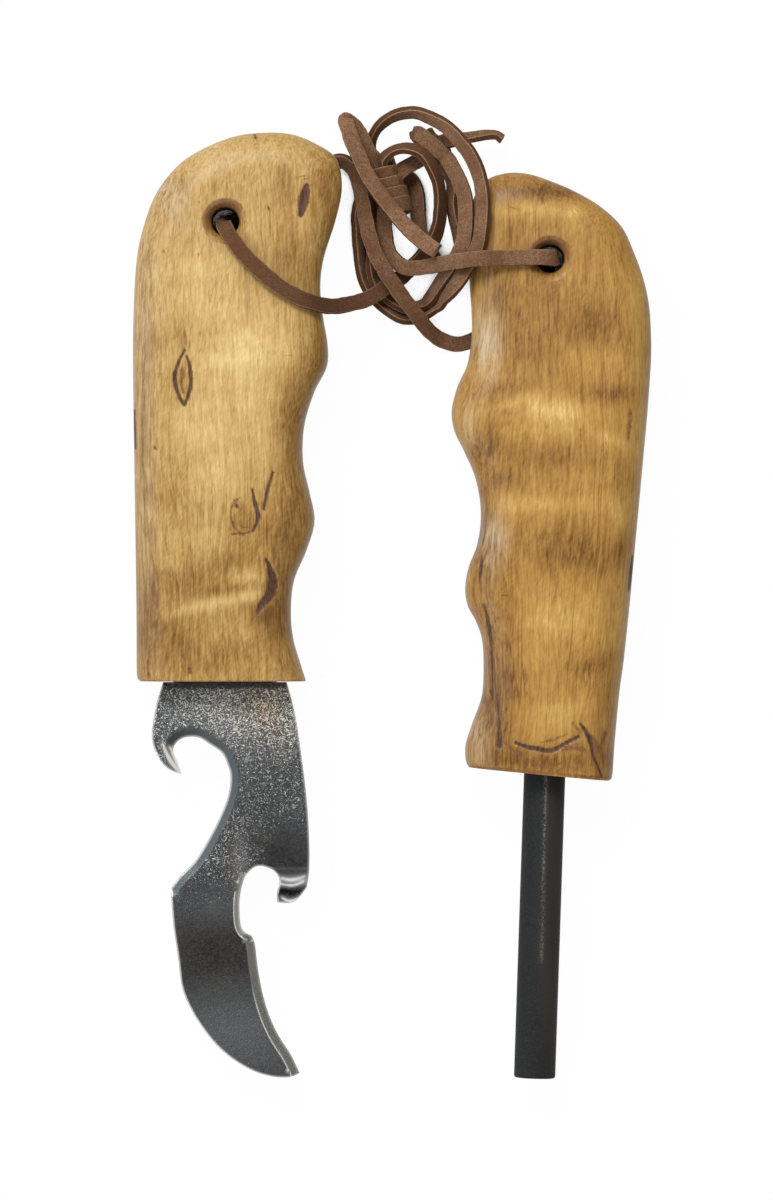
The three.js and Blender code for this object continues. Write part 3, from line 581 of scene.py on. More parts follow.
def turned(profile, sides, place, along_y=False):
    """A closed turned body from (radius, height) points, its axis along Z, or along Y."""
    points, faces = [], []
    for radius, height in profile:
        for s in range(sides):
            angle = 2 * math.pi * s / sides
            points.append((radius * math.cos(angle), radius * math.sin(angle), height))
    for row in range(0, (len(profile) - 1) * sides, sides):
        for s in range(sides):
            n = (s + 1) % sides
            faces.append((row + s, row + n, row + sides + n, row + sides + s))
    faces.append(tuple(reversed(range(sides))))
    faces.append(tuple((len(profile) - 1) * sides + s for s in range(sides)))
    points = np.array(points)
    return (points[:, [0, 2, 1]] if along_y else points) + place, faces


def lace_hole(hole, length):
    """The cutter for a lace hole: a bore with a rounded mouth at each face."""
    bore, mouth, deep, over, first_angle = 2.65, 4.5, 1.7, 2.0, 0.5
    half = middle * float(thickness_share(hole[1] / length)) + crown * 0.85
    flare = []
    for angle in np.linspace(first_angle, math.pi / 2, 13):
        radius = bore + (mouth - bore) * (1 - math.sin(angle)) / (1 - math.sin(first_angle))
        flare.append((radius, half - deep * (1 - math.cos(angle) / math.cos(first_angle))))
    lower = [(radius, -height) for radius, height in flare]
    profile = [(mouth, -half - over), *lower, *reversed(flare), (mouth, half + over)]
    return closed_object("hole", *turned(profile, 72, (*hole, middle)))


def cut(blank, cutters):
    """The blank with every cutter taken off, as plain vertices and faces."""
    for cutter in cutters:
        modifier = blank.modifiers.new("cut", "BOOLEAN")
        modifier.operation, modifier.solver, modifier.object = "DIFFERENCE", "MANIFOLD", cutter
    mesh = made_by_modifiers(blank)
    points = np.array([v.co for v in mesh.vertices])
    faces = [tuple(p.vertices) for p in mesh.polygons]
    for made in (blank, *cutters):
        bpy.data.objects.remove(made)
    return points, faces


def placed(points, place, lean=0.0):
    """Points of a unit turned by its lean and moved to where the unit lies."""
    cos, sin = math.cos(lean), math.sin(lean)
    x = points[:, 0] * cos - points[:, 1] * sin + place[0]
    y = points[:, 0] * sin + points[:, 1] * cos + place[1]
    return np.stack([x, y, points[:, 2]], axis=1)


def from_photo(x, y):
    """Where a pixel of the 773×1200 photograph lies on the object."""
    return (x - 392) / photo_scale, (605 - y) / photo_scale + 0.1


def drawn(points, line):
    """1 along a drawn line and 0 beyond it. Its points are [x, y, half width], all in pixels."""
    line = [(*from_photo(x, y), wide / photo_scale) for x, y, wide in smooth_line(line, 5)]
    best = np.zeros(len(points))
    for a, b in zip(line, line[1:]):
        start, along = np.array(a[:2]), np.subtract(b[:2], a[:2])
        away = points[:, :2] - start
        t = np.clip((away @ along) / max(along @ along, 1e-9), 0, 1)
        far = np.linalg.norm(away - t[:, None] * along, axis=1)
        wide = a[2] + (b[2] - a[2]) * t
        best = np.maximum(best, np.clip(1.5 - far / wide, 0, 1))
        best = np.maximum(best, 0.36 * np.exp(-((far / (wide + 0.35)) ** 2)))
    return best


def painted(points, patches):
    """Soft patches added up, each [x, y, reach across, reach along, turn, amount] in pixels."""
    total = np.zeros(len(points))
    for x, y, wide, high, turn, amount in patches:
        away = (points[:, :2] - from_photo(x, y)) * photo_scale
        cos, sin = math.cos(math.radians(turn)), math.sin(math.radians(turn))
        u = (away[:, 0] * cos + away[:, 1] * sin) / wide
        v = (away[:, 1] * cos - away[:, 0] * sin) / high
        total += amount * np.exp(-u * u - v * v)
    return total


def new_piece(name, points, faces, values, material, replaced, body, sharp=40):
    mesh = bpy.data.meshes.new(name)
    mesh.from_pydata(points.tolist(), [], faces)
    paint(mesh, **values)
    mesh.materials.append(material)
    finish_mesh(mesh)
    mesh.set_sharp_from_angle(angle=math.radians(sharp))
    piece = shown(name, mesh)
    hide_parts(replaced)
    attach(piece, body)


def wooden_piece(name, points, faces, material, marks_and_shade, figure_and_shade, painted_sheen, hole, replaced, body):
    """A handle with its bark marks sunk a little into the wood, and its figure painted on it
    together with painted shade. Pale grey patches on it are a painted sheen. The lace hole's bore is
    painted dark, a painted shade, and its mouth is painted brown and lighter on the side that faces
    the light, which is painted shade too."""
    bore_reach, mouth_reach, towards_shade = 2.95, 4.6, (-0.45, 0.89)
    upper = np.clip((points[:, 2] - middle) / 6, 0, 1)
    mark_and_shade, sunk = np.zeros(len(points)), np.zeros(len(points))
    for dark, depth, line in marks_and_shade:
        amount = drawn(points, line)
        mark_and_shade = np.maximum(mark_and_shade, amount * dark)
        sunk = np.maximum(sunk, amount * depth)
    away = points[:, :2] - hole
    far = np.linalg.norm(away, axis=1)
    # Painted shade in the lace hole: the bore is painted dark, and the mouth is painted brown and
    # darker on the side turned from the light.
    shaded = 0.55 + 0.55 * (away @ towards_shade) / np.maximum(far, 0.1)
    brown = 0.52 * np.clip(shaded, 0.2, 1) * np.clip((mouth_reach - far) / 0.3, 0, 1)
    mark_and_shade = np.maximum.reduce([mark_and_shade, brown, np.clip((bore_reach - far) / 0.3, 0, 1)])
    points[:, 2] -= sunk * upper
    values = {
        "mark_and_shade": mark_and_shade * np.clip(upper * 3, 0.15, 1),
        "figure_and_shade": painted(points, figure_and_shade) - shaded * np.clip((mouth_reach + 0.1 - far) / 1.3, 0, 1),
        "painted_sheen": painted(points, painted_sheen),
    }
    new_piece(name, points, faces, values, material, replaced, body)


def curly_birch(name, lean, seed, tones, lines_share):
    """Oiled curly birch: fibres along Y, growth lines, and a figure that is painted on the piece
    with painted shade, and pale grey patches of painted sheen. The tones go from the deepest to the
    palest wood."""
    material, shader, wire = new_material(name)
    place = wire.node("TexCoord", out="Object")
    moved = {"Rotation": (0, 0, lean), "Location": (seed * 0.37, seed * 0.11, 0)}
    place = wire.node("Mapping", place, **moved)
    sway = place.scaled((45, 16, 45)).noise(1, 2) - 0.5
    grain = place.added(wire.node("CombineXYZ", sway, 0.0, sway).scaled(0.009))

    def streaks(x, y, detail=3.0, roughness=0.55):
        return grain.scaled((x, y, x)).noise(1, detail, roughness)

    broad, fibre = streaks(420, 26), streaks(1150, 75)
    fine, pores = streaks(2600, 260, 2.0), streaks(4200, 480, 2.0)
    silk = wire.node("Mapping", place, Rotation=(0, 0, 0.6)).scaled((2100, 700, 2100)).noise(1, 2)
    cloud = place.noise(70)
    curl = place.scaled((60, 150, 60)).noise(1, 2, 0.5, 0.6)
    tone = 0.46 + wire.attribute("figure_and_shade") * (curl * 0.5 + 0.22) + (cloud - 0.5) * 0.35
    tone = tone + (curl - 0.5) * 0.26 + (broad - 0.5) * 0.26 + (fibre - 0.5) * 0.40
    tone = tone + (fine - 0.5) * 0.72 + (silk - 0.5) * 0.30
    colour = wire.node("ValToRGB", tone)
    stops = colour.socket.node.color_ramp.elements
    for position in (0.25, 0.5, 0.75):
        stops.new(position)
    for stop, shade in zip(stops, tones):
        stop.color = (*shade, 1)
    rings = abs(streaks(250, 3.2, 2.0, 0.4) - 0.5).ramped(0.011, 0.003)
    rings = rings * streaks(90, 30).ramped(0.42, 0.62)
    colour = (rings * lines_share).mixed(colour, (0.50, 0.34, 0.22), "MULTIPLY")
    lines = abs(streaks(950, 20, 1.0) - 0.5).ramped(0.035, 0.0) * pores.ramped(0.40, 0.60)
    dark = (lines * 0.42).math("MAXIMUM", pores.ramped(0.57, 0.70) * 0.24)
    colour = dark.mixed(colour, (0.45, 0.32, 0.20), "MULTIPLY")
    # Painted sheen: pale grey patches, a painted reflection on the left edges.
    sheen_share = wire.attribute("painted_sheen") * (fibre * 0.6 + fine * 0.4).ramped(0.30, 0.66) * 0.62
    colour = sheen_share.mixed(colour, (0.62, 0.52, 0.37))
    worn = place.scaled((1500, 900, 1500)).noise(1, 3, 0.65)
    ragged = wire.attribute("mark_and_shade") + (worn - 0.5)
    colour = (ragged.ramped(0.14, 0.50) * 0.85).mixed(colour, (0.215, 0.092, 0.030))
    # The darkest colour, for the bark marks, also paints the lace hole's bore dark, a painted shade.
    bark_and_shade = pores.ramped(0.35, 0.62).mixed((0.060, 0.027, 0.015), (0.135, 0.066, 0.034))
    colour = ragged.ramped(0.44, 0.74).mixed(colour, bark_and_shade)
    give(
        shader, Base_Color=colour, Specular_IOR_Level=0.25, Coat_Weight=0.12, Coat_Roughness=0.32,
        Roughness=0.42 + (fibre - 0.5) * 0.35 + ragged.ramped(0.4, 0.7) * 0.25,
        Normal=(fibre * 0.5 + pores * 0.5).bump(0.05 * MM, 0.6),
    )
    return material


# Marks in the wood, each with how dark it is, how deep, and its line. In order: the oval bark eye,
# the lens-shaped knot with two dark rims, the round knot's rings, a brown stain by the end face and
# a dark line along the end face's edge, which is painted shade, the slit in the left edge, the round
# knot's arcs and the streak above them, the big bark pocket, and specks.
tool_marks_and_shade = [
    (1.0, 0.15, [[307, 187, 2], [304.5, 200, 5.2], [301.5, 216, 2.6]]),
    (0.9, 0.2, [[186, 351, 0.8], [179, 366, 1.6], [176, 378, 2.1], [178.5, 392, 1.8],
        [185, 406, 1.4]]),
    (0.85, 0.15, [[187.5, 357, 1], [190.8, 367, 1.7], [192.2, 383, 2], [190.2, 394, 1.8],
        [186, 406, 1.4]]),
    (0.4, 0.05, [[186.8, 335, 0.8], [188.2, 349, 0.9]]),
    (0.5, 0.0, [[184, 366, 1], [182, 378, 1.6], [184.5, 394, 1.2]]),
    (0.48, 0.05, [[241, 498.5, 0.9], [234.5, 503, 1], [231.8, 514, 1.1], [235.2, 527.6, 1.1],
        [246, 535.5, 1]]),
    (0.4, 0.0, [[246, 507, 0.8], [239.5, 512, 0.9], [239, 520, 0.9], [243.5, 527, 0.9],
        [251, 528, 0.8]]),
    (0.35, 0.0, [[146, 667, 2.4], [150, 678, 3.5]]),
    # Painted shade: a dark line along the end face's edge.
    (0.5, 0.0, [[138, 681.5, 1.6], [220, 681.5, 1.6], [303, 681.5, 1.6]]),
    (0.9, 0.0, [[135.2, 411, 1], [136.2, 448, 1.3]]),
    (0.7, 0.1, [[237.5, 505, 1.6], [238, 507.5, 1.6]]),
    (0.85, 0.15, [[253.2, 490, 1], [256, 504.7, 2], [259, 518, 2.2], [254, 531, 1.4]]),
    (0.6, 0.1, [[254, 531, 1.2], [245, 534, 1.4], [233, 534, 1]]),
    (0.85, 0.15, [[273.4, 473, 1], [268.4, 490, 1.8], [264.3, 510, 1.2]]),
    (1.0, 0.3, [[267, 560, 1.2], [270.5, 568, 2.6], [273, 580, 4.6], [272.3, 590, 4.8],
        [267.5, 599, 4], [261.5, 606, 3], [258.3, 613, 1.6]]),
    (0.55, 0.1, [[149, 660, 1.4], [150, 677, 2]]),
    (0.6, 0.1, [[190.5, 668, 2], [191.5, 672, 2]]),
    (0.4, 0.0, [[183, 650, 1.6], [183.5, 668, 1.2]]),
    (0.5, 0.0, [[224, 648, 0.6], [224, 664, 0.6]]),
    (0.65, 0.0, [[255, 136, 1.4], [256, 139, 1.4]]),
    (0.6, 0.0, [[268.5, 208, 1.2], [269.5, 211, 1.2]]),
    (0.5, 0.0, [[199, 255, 0.9], [199.5, 257, 0.9]]),
    (0.5, 0.0, [[164.5, 252, 0.9], [165.5, 254, 0.9]]),
    (0.6, 0.0, [[155.5, 447.5, 1.1], [157, 450, 1.1]]),
    (0.45, 0.0, [[199.5, 203, 0.9], [200.5, 205, 0.9]]),
]
# The figure in pixels: pale and deep bands of the curl, with painted shade among them: the long deep
# patches down the right edge, and a painted shadow beside the big bark pocket.
tool_figure_and_shade = [
    [235, 165, 40, 32, 0, 0.05], [245, 342, 30, 42, 0, 0.6], [252, 405, 28, 32, 0, 0.55],
    [243, 455, 30, 24, 0, 0.35], [285, 352, 18, 22, 0, 0.25], [200, 300, 40, 70, 0, 0.25],
    [205, 430, 30, 80, 0, 0.3], [284, 180, 12, 20, 0, -0.4], [290, 250, 18, 34, 0, -0.55],
    [325, 200, 16, 60, 0, -0.45], [322, 365, 22, 44, 0, -0.6], [297, 430, 20, 50, 5, -0.5],
    [293, 500, 26, 34, 0, -0.45], [284, 540, 26, 26, 0, -0.45], [283, 600, 18, 50, 0, -0.55],
    [160, 495, 26, 10, 0, -0.25], [192, 578, 34, 15, 9, -0.55], [235, 560, 28, 10, 6, -0.35],
    [228, 589, 32, 5, 9, -0.4], [240, 520, 13, 26, 0, -0.35], [246, 577, 13, 6, 6, 0.55],
    [184, 611, 28, 5, 12, 0.35], [222, 602, 26, 5, 10, 0.5], [250, 596, 14, 5, 8, 0.5],
    [262, 614, 14, 12, 0, -0.5], [200, 640, 80, 46, 0, -0.62], [232, 625, 26, 20, 15, 0.35],
    [150, 620, 16, 70, 0, -0.3], [146, 400, 12, 190, 0, -0.5], [170, 200, 22, 40, 30, -0.25],
    [184, 380, 7, 20, 0, -0.55], [186, 340, 6, 18, 0, -0.4],
]
# Painted sheen along the left edge: pale grey patches, a painted reflection.
tool_painted_sheen = [
    [144, 300, 13, 110, 0, 0.5], [166, 190, 16, 40, 30, 0.7], [146, 500, 9, 130, 0, 0.4],
    [200, 155, 40, 8, 20, 0.4],
]
tool_tones = [
    (0.19, 0.088, 0.022), (0.37, 0.2, 0.052), (0.55, 0.348, 0.116), (0.69, 0.475, 0.185),
    (0.84, 0.61, 0.27),
]
tool_birch = curly_birch("birch_tool", 0.0, 3, tool_tones, 0.35)
slot_spare = 0.8
tang_width, tang_length, plate_thickness = 20.0, 28.0, 2.5
reach_x, reach_z = tang_width / 2 + slot_spare, plate_thickness / 2 + slot_spare
corners = [
    (x, y, z)
    for x in (-reach_x, reach_x)
    for y in (-2, tang_length + slot_spare)
    for z in (middle - reach_z, middle + reach_z)
]
box = [(0, 1, 3, 2), (4, 6, 7, 5), (0, 4, 5, 1), (2, 3, 7, 6), (0, 2, 6, 4), (1, 5, 7, 3)]
blank = closed_object("blank", *handle_blank(tool_outline, tool_width, tool_length, 0.0))
cutters = [lace_hole(tool_hole, tool_length), closed_object("slot", corners, box)]
points, faces = cut(blank, cutters)
wooden_piece(
    "handle_tool", placed(points, tool_place), faces, tool_birch, tool_marks_and_shade, tool_figure_and_shade,
    tool_painted_sheen, (-32.1, 74.0), "tool_handle", "striker_unit",
)

# ---------------------------------------------------------------- Striker plate
# One flat steel plate, stamped and nickel plated: the hook and throat of a bottle opener, the notch
# and bent claw of a can opener, a curved ground blade, and a tang that is glued into the handle.
# The stretches of its outline are shares of its width and length.
plate_width, plate_length, fit_gap = 30.4, 76.5, 0.2
rim = 0.3
claw_start, claw_end, claw_drop, claw_run = 35.6, 44.0, 1.9, 3.4
right_edge = [
    [0.392, 0], [0.43, 0.053], [0.467, 0.131], [0.518, 0.288], [0.536, 0.4], [0.536, 0.475],
    [0.521, 0.52],
]
claw_outer = [[0.521, 0.52], [0.458, 0.551], [0.407, 0.56], [0.334, 0.558]]
claw_inner = [
    [0.334, 0.558], [0.33, 0.538], [0.343, 0.515], [0.341, 0.493], [0.299, 0.474], [0.222, 0.465],
    [0.165, 0.475], [0.121, 0.5], [0.095, 0.546], [0.094, 0.594], [0.104, 0.62], [0.127, 0.634],
    [0.165, 0.642],
]
blade = [
    [0.165, 0.642], [0.189, 0.662], [0.21, 0.727], [0.242, 0.793], [0.286, 0.849], [0.343, 0.897],
    [0.42, 0.945], [0.474, 0.99],
]
nose = [
    [0.474, 0.99], [0.407, 1], [0.299, 0.998], [0.176, 0.983], [0.044, 0.952], [-0.067, 0.912],
    [-0.159, 0.864], [-0.229, 0.816], [-0.273, 0.768], [-0.295, 0.7], [-0.327, 0.611],
    [-0.343, 0.522],
]
opener = [
    [-0.343, 0.522], [-0.28, 0.49], [-0.184, 0.45], [-0.095, 0.392], [-0.019, 0.331],
    [0.024, 0.283], [0.036, 0.239], [0.019, 0.21], [-0.019, 0.179], [-0.095, 0.157],
    [-0.159, 0.141], [-0.222, 0.138], [-0.28, 0.144], [-0.321, 0.16], [-0.328, 0.177],
    [-0.307, 0.198], [-0.277, 0.232],
]
hook = [
    [-0.277, 0.232], [-0.356, 0.22], [-0.41, 0.198], [-0.451, 0.164], [-0.464, 0.131],
    [-0.451, 0.091], [-0.428, 0.045], [-0.391, 0],
]


def plate_edge(shares):
    """A stretch of the plate's edge, with points every third of a millimetre."""
    run = plate_length - fit_gap
    line = smooth_line([(x * plate_width, -fit_gap - y * run) for x, y in shares])
    return even_steps(line, max(3, round(run_along(line)[-1] / 0.33)))


def distance_to(points, line):
    """How far each point is from a line of straight pieces."""
    best = np.full(len(points), np.inf)
    for a, b in zip(line, line[1:]):
        along = b - a
        t = np.clip(((points - a) @ along) / max(along @ along, 1e-12), 0, 1)
        best = np.minimum(best, np.linalg.norm(points - a - t[:, None] * along, axis=1))
    return best


def within(points, line):
    """Which points lie inside a closed line: a ray from them crosses it an odd number of times."""
    odd = np.zeros(len(points), bool)
    x, y = points[:, 0], points[:, 1]
    for a, b in zip(line, line[1:]):
        if a[1] != b[1]:
            crossing = a[0] + (y - a[1]) * (b[0] - a[0]) / (b[1] - a[1])
            odd ^= ((a[1] > y) != (b[1] > y)) & (x < crossing)
    return odd


def rows_inside(line, offsets, keep):
    """Points drawn in from an edge by each offset, without those that come near another edge."""
    run = unit(np.gradient(line, axis=0))
    inward = np.stack([run[:, 1], -run[:, 0]], axis=1)
    rows = []
    for offset in offsets:
        moved = line + inward * offset
        rows.append(moved[distance_to(moved, closed) > offset * keep])
    return rows


def grid_inside(x_range, y_range, step, clear):
    """A grid of points inside the plate that stays clear of its edge."""
    xs, ys = np.meshgrid(np.arange(*x_range, step), np.arange(*y_range, step))
    points = np.stack([xs.ravel(), ys.ravel()], axis=1)
    points = points[within(points, closed)]
    return points[distance_to(points, closed) > clear]


half_tang = tang_width / 2
tang_corners = [
    (-0.391 * plate_width, -fit_gap), (-half_tang, -fit_gap), (-half_tang, tang_length),
    (half_tang, tang_length), (half_tang, -fit_gap), (0.392 * plate_width, -fit_gap),
]
stretches = [
    plate_edge(part) for part in (right_edge, claw_outer, claw_inner, blade, nose, opener, hook)
]
for a, b in zip(tang_corners, tang_corners[1:]):
    stretches.append(even_steps(np.array([a, b]), max(3, round(math.dist(a, b) / 0.8))))
loop = np.vstack([stretch[:-1] for stretch in stretches])
closed = np.vstack([loop, loop[:1]])
# The edges that are ground or eased on the upper face, each with the bevel's width and depth.
bevels = [
    (plate_edge(blade), 1.6, 1.3),
    (plate_edge(opener), 1.5, 0.7),
    (plate_edge(claw_inner[7:]), 1.0, 0.35),
]
# The mesh is finer at the hook's tip and on the claw, where small facets are painted.
grid = grid_inside((-15, 17), (-76.5, 28), 0.7, 0.7)
for x_range, y_range in (((-13, -8), (-18, -11)), ((10, 16), (-43, -35))):
    fine = grid_inside(x_range, y_range, 0.24, 0.55)
    near = np.abs(grid - fine.mean(axis=0)) < np.ptp(fine, axis=0) / 2 + 0.15
    grid = np.vstack([grid[~near.all(axis=1)], fine])
free = [grid, *rows_inside(closed, (rim * 0.3, rim * 0.65, rim, rim + 0.2), 0.93)]
for line, width, _ in bevels:
    free += rows_inside(line, (width - 0.25, width - 0.05, width + 0.05, width + 0.25), 0.97)
edges = [(i, (i + 1) % len(loop)) for i in range(len(loop))]
everything = [Vector(point) for point in np.vstack([loop, *free])]
cells = delaunay_2d_cdt(everything, edges, [], 1, 1e-4, False)
flat = np.array([tuple(v) for v in cells[0]])
corners = np.array([tuple(f) for f in cells[2]])
corners = [tuple(map(int, face)) for face in corners[within(flat[corners].mean(axis=1), closed)]]
deep_in = distance_to(flat, closed)
chamfer = rim - np.sqrt(np.maximum(0, rim**2 - np.maximum(0, rim - deep_in) ** 2))
to_blade, to_opener, to_notch = (distance_to(flat, line) for line, _, _ in bevels)
ground, eased, notched = (
    np.maximum(0, depth * (1 - away / width))
    for away, (_, width, depth) in zip((to_blade, to_opener, to_notch), bevels)
)
bend = np.clip((-flat[:, 1] - claw_start) / claw_run, 0, 1)
in_claw = (flat[:, 0] > 0.222 * plate_width) & (flat[:, 1] > -claw_end)
bend = bend * bend * (3 - 2 * bend) * claw_drop * in_claw
half = plate_thickness / 2
top = middle + half - np.maximum.reduce([chamfer, ground, eased, notched]) - bend
low = middle - half + chamfer * (ground < 0.02) - bend
low = np.minimum(low, top - 0.12)
size = len(flat)
faces = corners + [tuple(i + size for i in reversed(face)) for face in corners]
sided = {(a, b) for face in corners for a, b in zip(face, (*face[1:], face[0]))}
faces += [(b, a, a + size, b + size) for a, b in sorted(sided) if (b, a) not in sided]
points = placed(np.vstack([np.column_stack([flat, top]), np.column_stack([flat, low])]), tool_place)

# Painted highlights: bright lines on the small facets at the hook's tip and on the claw.
facet_highlights = [
    [[163, 744, 1], [167.5, 755, 2], [173.5, 765, 2], [180.5, 772.5, 0.9]],
    [[170, 747, 0.9], [175, 758, 1.3], [180.5, 770, 0.8]],
    [[281, 877.5, 0.9], [290, 880, 1.5], [298, 878.5, 1.3], [305, 876, 0.9]],
    [[281, 884, 0.8], [292, 885.5, 1], [303, 882, 1.2]],
    [[282, 898, 0.8], [289, 901, 1.2], [297, 899, 0.8]],
]
# What is painted on the plate: how bright its plating is, with a painted shadow under the handle and
# a painted highlight and shade on the claw's bend; how much it sparkles; where it is brown and
# burnt;
# the bare edges; and painted highlights, the bright lines on every rim, stronger low on the blade.
bright = painted(points, [
    [240, 712, 80, 45, 0, 0.13], [285, 858, 32, 18, 0, -0.05], [215, 905, 60, 18, 0, 0.05],
    [215, 955, 60, 30, 0, -0.05], [240, 1030, 70, 40, 0, 0.12], [294, 880, 14, 4, 0, 0.35],
    [290, 892, 20, 5, 0, -0.14], [230, 684, 90, 3.5, 0, -0.14], [240, 862, 8, 24, 0, 0.15],
])
sparkle = np.clip((points[:, 1] + 58.5) / 9, 0, 1) * (0.75 + painted(points, [
    [250, 702, 80, 42, 0, 0.4], [292, 850, 26, 24, 0, -1.2], [280, 880, 20, 18, 0, -1.0],
    [230, 683, 90, 4, 0, -1.4], [250, 800, 60, 45, 0, -0.18],
]))
warm = painted(points, [
    [262, 705, 40, 26, 0, 1.2], [280, 735, 20, 26, 0, 0.5], [238, 862, 9, 26, 0, 1.6],
    [222, 950, 60, 34, 0, 0.2],
])
near_blade, near_opener, near_notch, near_edge = (
    np.concatenate([away, away]) for away in (to_blade, to_opener, to_notch, deep_in)
)
low_on_blade = np.clip((-72 - points[:, 1]) / 5, 0.15, 1)
# Painted highlights: bright lines along every rim, along the blade's bevel, stronger low on the
# blade, and along the notch's bevel.
rim_highlights = np.clip(1 - np.abs(near_edge - 0.15) / 0.2, 0, 1) * 0.6
rim_highlights += np.clip(1 - np.abs(near_blade - 1.65) / 0.14, 0, 1) * low_on_blade
rim_highlights += np.clip(1 - np.abs(near_notch - 1.05) / 0.16, 0, 1)
plate_values = {
    "bright": bright,
    "sparkle": np.clip(sparkle, 0, 1.1) * np.clip((near_opener - 1.4) / 0.6, 0, 1),
    "warm": warm,
    "burnt": painted(points, [[215, 955, 60, 32, 0, 1.0], [280, 845, 30, 14, -12, 0.7]]),
    "bevel": np.clip((1.62 - near_blade) / 0.1, 0, 1),
    "throat": np.clip((1.7 - near_opener) / 0.3, 0, 1),
    "ground": np.clip((1.0 - near_notch) / 0.15, 0, 1),
    "rim": rim_highlights + sum(drawn(points, line) for line in facet_highlights),
}

steel, shader, wire = new_material("plated_steel")
place = wire.node("TexCoord", out="Object")
warp = wire.node("TexNoise", Vector=place, Scale=700.0, Detail=0.0, out="Color")
crinkle = place.added(warp.scaled(0.0028)).noise(2450, 1, 0.5, 0.6)
grit, pits, stains = place.noise(4600, 2, 0.6), place.noise(1900, 2, 0.6), place.noise(120, 3, 0.6)
sparkle, edge_highlight = wire.attribute("sparkle"), wire.attribute("rim")
worms = (crinkle + (sparkle - 0.75) * 0.16).ramped(0.535, 0.565)
worms = worms * place.noise(3200, 1).ramped(0.38, 0.52)
level = 0.120 + wire.attribute("bright") + (stains - 0.5) * 0.06 + (pits - 0.5) * 0.14
level = level + (grit - 0.5) * 0.10
colour = level.mixed((0.012, 0.013, 0.014), (0.92, 0.97, 1.0))
colour = wire.attribute("burnt").mixed(colour, (1.0, 0.86, 0.78), "MULTIPLY")
warmth = wire.attribute("warm") * stains.ramped(0.35, 0.6)
# Painted glints: the worm lines of the sparkling plating are painted in a pale glint colour.
glint = (warmth * 0.8).mixed((0.97, 0.96, 0.90), (0.99, 0.86, 0.66))
colour = (warmth * pits.ramped(0.46, 0.60) * 0.85).mixed(colour, (0.27, 0.130, 0.062))
colour = (worms * sparkle).mixed(colour, glint)
for name, bare_colour in (
    ("throat", (0.090, 0.096, 0.100)),
    ("bevel", (0.46, 0.455, 0.42)),
    ("ground", (0.40, 0.40, 0.375)),
):
    colour = wire.attribute(name).mixed(colour, bare_colour)
# Painted highlights: the rims and facets are painted near white, and they and the glints are made
# less metallic, so that they stay bright.
colour = edge_highlight.mixed(colour, (0.86, 0.85, 0.81))
edge_highlight_share = edge_highlight.math("MINIMUM", 1.0) * 0.65
glare = worms * (sparkle - 0.60).math("MAXIMUM", 0.0) * 1.5
height = worms * sparkle * 0.5 + pits * (0.2 + sparkle * 0.3) + grit * 0.2
give(
    shader, Base_Color=colour, Metallic=1.0 - edge_highlight_share.math("MAXIMUM", glare),
    Roughness=0.36 - worms * sparkle * 0.10 + (grit - 0.5) * 0.2,
    Normal=height.bump(0.22 * MM, 0.9),
)
new_piece("plate", points, faces, plate_values, steel, "striker_plate", "striker_unit", 28)

# ---------------------------------------------------------------- Beddings
# Cured epoxy round the tang and round the rod's end: the handles' slot and bore are a little wider
# than what they hold, and the glue fills them. Its dark rim shows at each handle's end face.
epoxy, shader, wire = new_material("epoxy")
dust = wire.node("TexCoord", out="Object").noise(1400)
colour = dust.ramped(0.4, 0.7).mixed((0.045, 0.022, 0.010), (0.11, 0.06, 0.03))
give(shader, Base_Color=colour, Roughness=0.3, Normal=dust.bump(0.1 * MM, 0.5))
for name in ("tang_bedding", "rod_bedding"):
    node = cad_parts[name]
    node.data.materials.clear()
    node.data.materials.append(epoxy)

# ---------------------------------------------------------------- Rod handle
# The fire rod's handle: the same birch with stronger curl and a burly end, with finger swells on
# its left side. Its end is cut a little askew, and a blind bore there holds the rod.
rod_handle_length, rod_width = 116.0, 37.0
rod_hole = (-2.3, 99.4)
rod_end_cut = math.radians(-3.6)
rod_place, rod_lean = (29.5, -32.6), math.radians(-1.9)
rod_radius, rod_length, rod_in_handle = 4.0, 80.0, 21.3
rod_outline = [
    [0.335, 0], [0.348, 0.004], [0.353, 0.014], [0.355, 0.03], [0.359, 0.067], [0.374, 0.144],
    [0.392, 0.202], [0.414, 0.298], [0.424, 0.353], [0.446, 0.468], [0.461, 0.548], [0.473, 0.615],
    [0.482, 0.695], [0.478, 0.74], [0.463, 0.787], [0.43, 0.83], [0.375, 0.874], [0.308, 0.915],
    [0.201, 0.946], [0.073, 0.969], [-0.059, 0.986], [-0.19, 0.998], [-0.306, 0.998],
    [-0.41, 0.985], [-0.465, 0.959], [-0.49, 0.92], [-0.491, 0.87], [-0.478, 0.815],
    [-0.462, 0.765], [-0.457, 0.72], [-0.475, 0.675], [-0.522, 0.637], [-0.548, 0.596],
    [-0.53, 0.562], [-0.478, 0.53], [-0.418, 0.49], [-0.385, 0.448], [-0.378, 0.408],
    [-0.395, 0.37], [-0.432, 0.335], [-0.447, 0.299], [-0.43, 0.27], [-0.385, 0.245],
    [-0.35, 0.215], [-0.337, 0.17], [-0.342, 0.12], [-0.385, 0.075], [-0.416, 0.04],
    [-0.418, 0.022], [-0.412, 0.008], [-0.396, 0],
]
